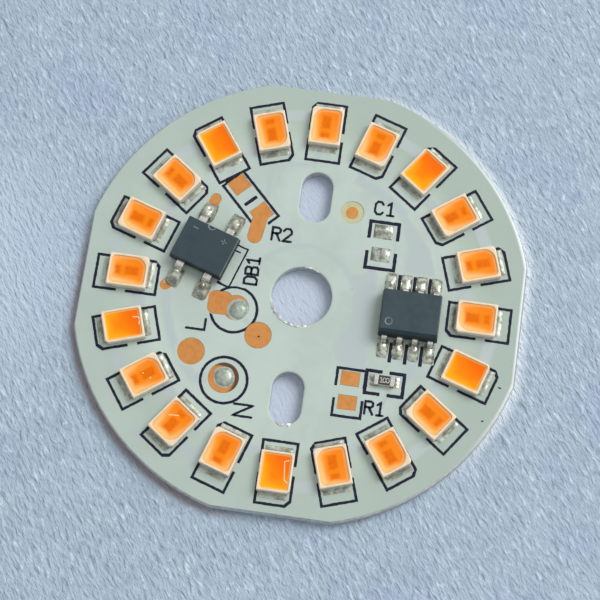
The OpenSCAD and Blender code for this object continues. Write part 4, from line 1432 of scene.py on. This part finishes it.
@dataclass
class GullPackage:
    """A moulded package on gull-wing leads, in two rows."""

    name: str
    place: Place
    pins: int
    pitch: float
    span: float
    top: float
    joint_w: float
    joint_h: float
    joint_peak: float
    solder: Finish
    bevel: float
    heel: float
    foot: float = 0.62
    toe: float = 0.63
    lead_bevel: float = 0.03
    # Rings of the pale rim of a mark, a painted highlight: how far out from its edge, and how far below the
    # top.
    rim_rings: tuple[Band, ...] = ((0.02, -0.002), (0.0, 0.001), (-0.04, 0.02), (-0.08, 0.036))

    def build(self) -> None:
        """Builds the solder on the leads' feet."""
        shape = Shape()
        joint = Mound(self.span / 2 - self.foot - self.heel, self.span / 2 + self.toe,
                      self.joint_w, self.joint_h, self.joint_peak)
        for side in (90, 270):
            for k in range(self.pins):
                lead = self.place.child(0, 0, side).child(0, (k - (self.pins - 1) / 2) * self.pitch)
                joint.add(shape, lead, side + k * 1.7)
        shape.piece(self.name + "_joints", self.solder, self.name + "_solder", crease=80)

    def dress(self) -> None:
        """Gives the body and leads their finishes and softened edges."""
        dress_node(self.name + "_body", MOULDING, self.bevel)
        dress_node(self.name + "_leads", TIN, self.lead_bevel)

    def add_rim(self, shape: Shape, spot: Point2, radius: float, first: float, last: float) -> None:
        """Adds the pale rim of a round moulded mark, a painted highlight on its edge.

        Args:
            shape: Mesh to add it to.
            spot: Middle of the mark, from the package's own middle.
            radius: Its radius.
            first: Angle at which the rim begins, in degrees.
            last: Angle at which it ends.
        """
        place = self.place.child(*spot)
        angles = [math.radians(first + (last - first) * t) for t in shares(32)]
        rings = [(radius + out, self.top - drop) for out, drop in self.rim_rings]
        shape.rows([[place.at(r * math.cos(a), r * math.sin(a), z) for a in angles] for r, z in rings])


@dataclass
class Rectifier(GullPackage):
    """The bridge rectifier, with its polarity signs and a painted highlight on the rim of its notch."""

    name: str = "bridge"
    place: Place = Place(-8.5, 2.75, -18)
    pins: int = 2
    pitch: float = 2.54
    span: float = 6.7
    top: float = 2.495
    joint_w: float = 1.28
    joint_h: float = 0.7
    joint_peak: float = 0.32
    solder: Finish = SOLDER
    bevel: float = 0.06
    heel: float = 0.5
    minus: Point2 = (-1.35, 1.1)
    plus: Point2 = (1.3, 1.0)
    sign_h: float = 0.7
    sign_pen: float = 0.09
    sign_root: float = 0.02
    sign_rise: float = 0.002
    notch: Point2 = (-0.17, 1.814)
    notch_r: float = 0.34
    notch_arc: Band = (186, 354)

    def build(self) -> None:
        """Builds the joints, the signs on the body and the painted highlight on the notch's rim."""
        super().build()
        signs = Lettering(self.sign_pen, self.top - self.sign_root, self.top + self.sign_rise, jitter=0.01)
        signs.word("-", self.place.child(*self.minus), self.sign_h)
        signs.word("+", self.place.child(*self.plus), self.sign_h)
        # The notch's rim is a painted highlight.
        self.add_rim(signs.shape, self.notch, self.notch_r, *self.notch_arc)
        signs.shape.piece("rectifier_signs_and_rim_highlight", MARKING_AND_HIGHLIGHT)


@dataclass
class DriverChip(GullPackage):
    """The driver chip, with a painted highlight on the rim of the dimple by its first pin."""

    name: str = "driver"
    place: Place = Place(9.1, -0.62)
    pins: int = 4
    pitch: float = 1.27
    span: float = 6.0
    top: float = 2.595
    joint_w: float = 1.0
    joint_h: float = 0.36
    joint_peak: float = 0.36
    solder: Finish = BRIGHT_SOLDER
    bevel: float = 0.09
    heel: float = 0.38
    dimple: Point2 = (-1.706, -0.846)
    dimple_r: float = 0.31

    def build(self) -> None:
        """Builds the joints and the painted highlight on the dimple's rim."""
        super().build()
        shape = Shape()
        # The dimple's rim is a painted highlight.
        self.add_rim(shape, self.dimple, self.dimple_r, 0, 360)
        shape.piece("dimple_rim_highlight", MARKING_AND_HIGHLIGHT)


@dataclass
class Resistor:
    """The setting resistor with its solder and its value."""

    place: Place = Place(7.7, -6.2)
    toe: Toe = Toe(reach=0.815, width=0.91, run=0.44, climb=0.34)
    coat_top: float = 1.555
    value: str = "100"
    value_x: float = -0.26
    value_h: float = 0.4
    value_pitch: float = 0.27
    value_pen: float = 0.06
    value_root: float = 0.01
    value_rise: float = 0.002

    def build(self) -> None:
        """Builds the fillets at its ends and the value on its back."""
        shape = Shape()
        for turn in (90, 270):
            self.toe.add(shape, self.place.child(0, 0, turn), turn)
        shape.piece("resistor_toes", BRIGHT_SOLDER, "land_solder", crease=75)
        digits = Lettering(self.value_pen, self.coat_top - self.value_root, self.coat_top + self.value_rise)
        digits.word(self.value, self.place.child(self.value_x, 0), self.value_h, self.value_pitch)
        digits.shape.piece("resistor_value", VALUE_INK)

    def dress(self) -> None:
        """Gives its CAD nodes their finishes."""
        dress_node("resistor_core", CERAMIC, bevel=0.02)
        dress_node("resistor_coat", OVERCOAT, bevel=0.02)
        dress_node("resistor_caps", TIN, bevel=0.04)


@dataclass
class LandSolder:
    """Solder on the wire lands, and tin on the unused lands."""

    live: Place = Place(-5.0, -1.93)
    live_bead: Bead = Bead(radius=0.76, height=0.26, film=0.22)
    neutral: Place = Place(-5.32, -7.68)
    neutral_bead: Bead = Bead(radius=0.8, height=0.26, film=0.1)
    spare: Place = Place(6.0, 5.45, 90)
    spare_pitch: float = 2.0
    tin_l: float = 1.21
    tin_w: float = 1.56
    tin_h: float = 0.09

    def build(self) -> None:
        """Builds the beads and the tin."""
        beads = Shape()
        self.live_bead.add(beads, self.live, 15.0)
        self.neutral_bead.add(beads, self.neutral, 16.0)
        beads.piece("wire_beads", BEAD, "land_solder", crease=80)
        tin = Shape()
        for side in (-0.5, 0.5):
            middle = side * self.spare_pitch
            mound = Mound(middle - self.tin_l / 2, middle + self.tin_l / 2, self.tin_w, self.tin_h, peak=0.5)
            mound.add(tin, self.spare, 17.0 + side)
        tin.piece("spare_tin", SPARE_TIN, "land_solder", crease=80)


# Studio


@dataclass
class Studio:
    """Floor, light and camera."""

    focal_px: float = 1700.0
    frame_px: float = 600.0
    sensor_w: float = 36.0
    clip_m: Band = (0.01, 10.0)
    elevation: float = 75.215
    azimuth: float = 8.104
    distance: float = 141.985
    target: Point3 = (-0.1255, -0.058, -0.045)
    floor_half: float = 400.0
    floor_z: float = -0.01
    sky_level: float = 0.8
    sky_near: Colour = (1.0, 1.0, 1.0, 1.0)
    sky_far: Colour = (0.4, 0.43, 0.46, 1.0)
    sky_span: Band = (-0.3, 1.0)
    key_way: Point3 = (0.5, 0.42, 0.76)
    key_far: float = 800.0
    key_side: float = 460.0
    key_watts: float = 3.75

    def build(self) -> None:
        """Builds the floor, the light and the camera."""
        self.build_floor()
        self.build_sky()
        self.build_lamp()
        self.build_camera()

    def build_floor(self) -> None:
        """Lays a pale floor under the board."""
        shape = Shape()
        ends = (-self.floor_half, self.floor_half)
        shape.rows([[(x, y, self.floor_z) for x in ends] for y in ends])
        floor = add_object("floor", shape.mesh("floor"))
        floor.data.materials.append(PAPER.make())

    def build_sky(self) -> None:
        """Sets a soft sky that is brighter toward the lamp."""
        world = bpy.data.worlds.new("sky")
        world.use_nodes = True
        sketch = Sketch(world.node_tree)
        sky = world.node_tree.nodes["Background"]
        sky.inputs["Strength"].default_value = self.sky_level
        look = sketch.add("ShaderNodeTexCoord").outputs["Generated"]
        share = sketch.span(sketch.number("DOT_PRODUCT", look, self.key_way), *self.sky_span)
        world.node_tree.links.new(sketch.blend(share, self.sky_far, self.sky_near), sky.inputs["Color"])
        bpy.context.scene.world = world

    def build_lamp(self) -> None:
        """Sets one soft lamp at the upper right."""
        lamp = bpy.data.lights.new("key", "AREA")
        lamp.shape, lamp.size, lamp.energy = "DISK", self.key_side * MM, self.key_watts
        key = add_object("key", lamp)
        way = Vector(self.key_way).normalized()
        key.location = way * self.key_far * MM
        key.rotation_euler = way.to_track_quat("Z", "Y").to_euler()

    def build_camera(self) -> None:
        """Sets the camera at the photograph's viewing angle."""
        az, el = math.radians(self.azimuth), math.radians(self.elevation)
        back = Vector((math.sin(az) * math.cos(el), -math.cos(az) * math.cos(el), math.sin(el)))
        right = Vector((math.cos(az), math.sin(az), 0.0))
        turn = Matrix((right, back.cross(right), back)).transposed()
        lens = bpy.data.cameras.new("camera")
        lens.sensor_width = self.sensor_w
        lens.lens = self.focal_px / self.frame_px * self.sensor_w
        lens.clip_start, lens.clip_end = self.clip_m
        camera = add_object("camera", lens)
        place = (Vector(self.target) + back * self.distance) * MM
        camera.matrix_world = Matrix.Translation(place) @ turn.to_4x4()
        bpy.context.scene.camera = camera


def main() -> None:
    """Builds and dresses the board, its parts and the studio."""
    logging.basicConfig(level=logging.INFO, format="%(message)s")
    bpy.context.scene.view_settings.view_transform = "Standard"
    board, ring, rectifier, driver, resistor = Board(), LedRing(), Rectifier(), DriverChip(), Resistor()
    for part in (board, BoardLettering(), ring, rectifier, driver, resistor, LandSolder(), Studio()):
        part.build()
    for part in (board, ring, rectifier, driver, resistor):
        part.dress()


if __name__ == "__main__":
    main()
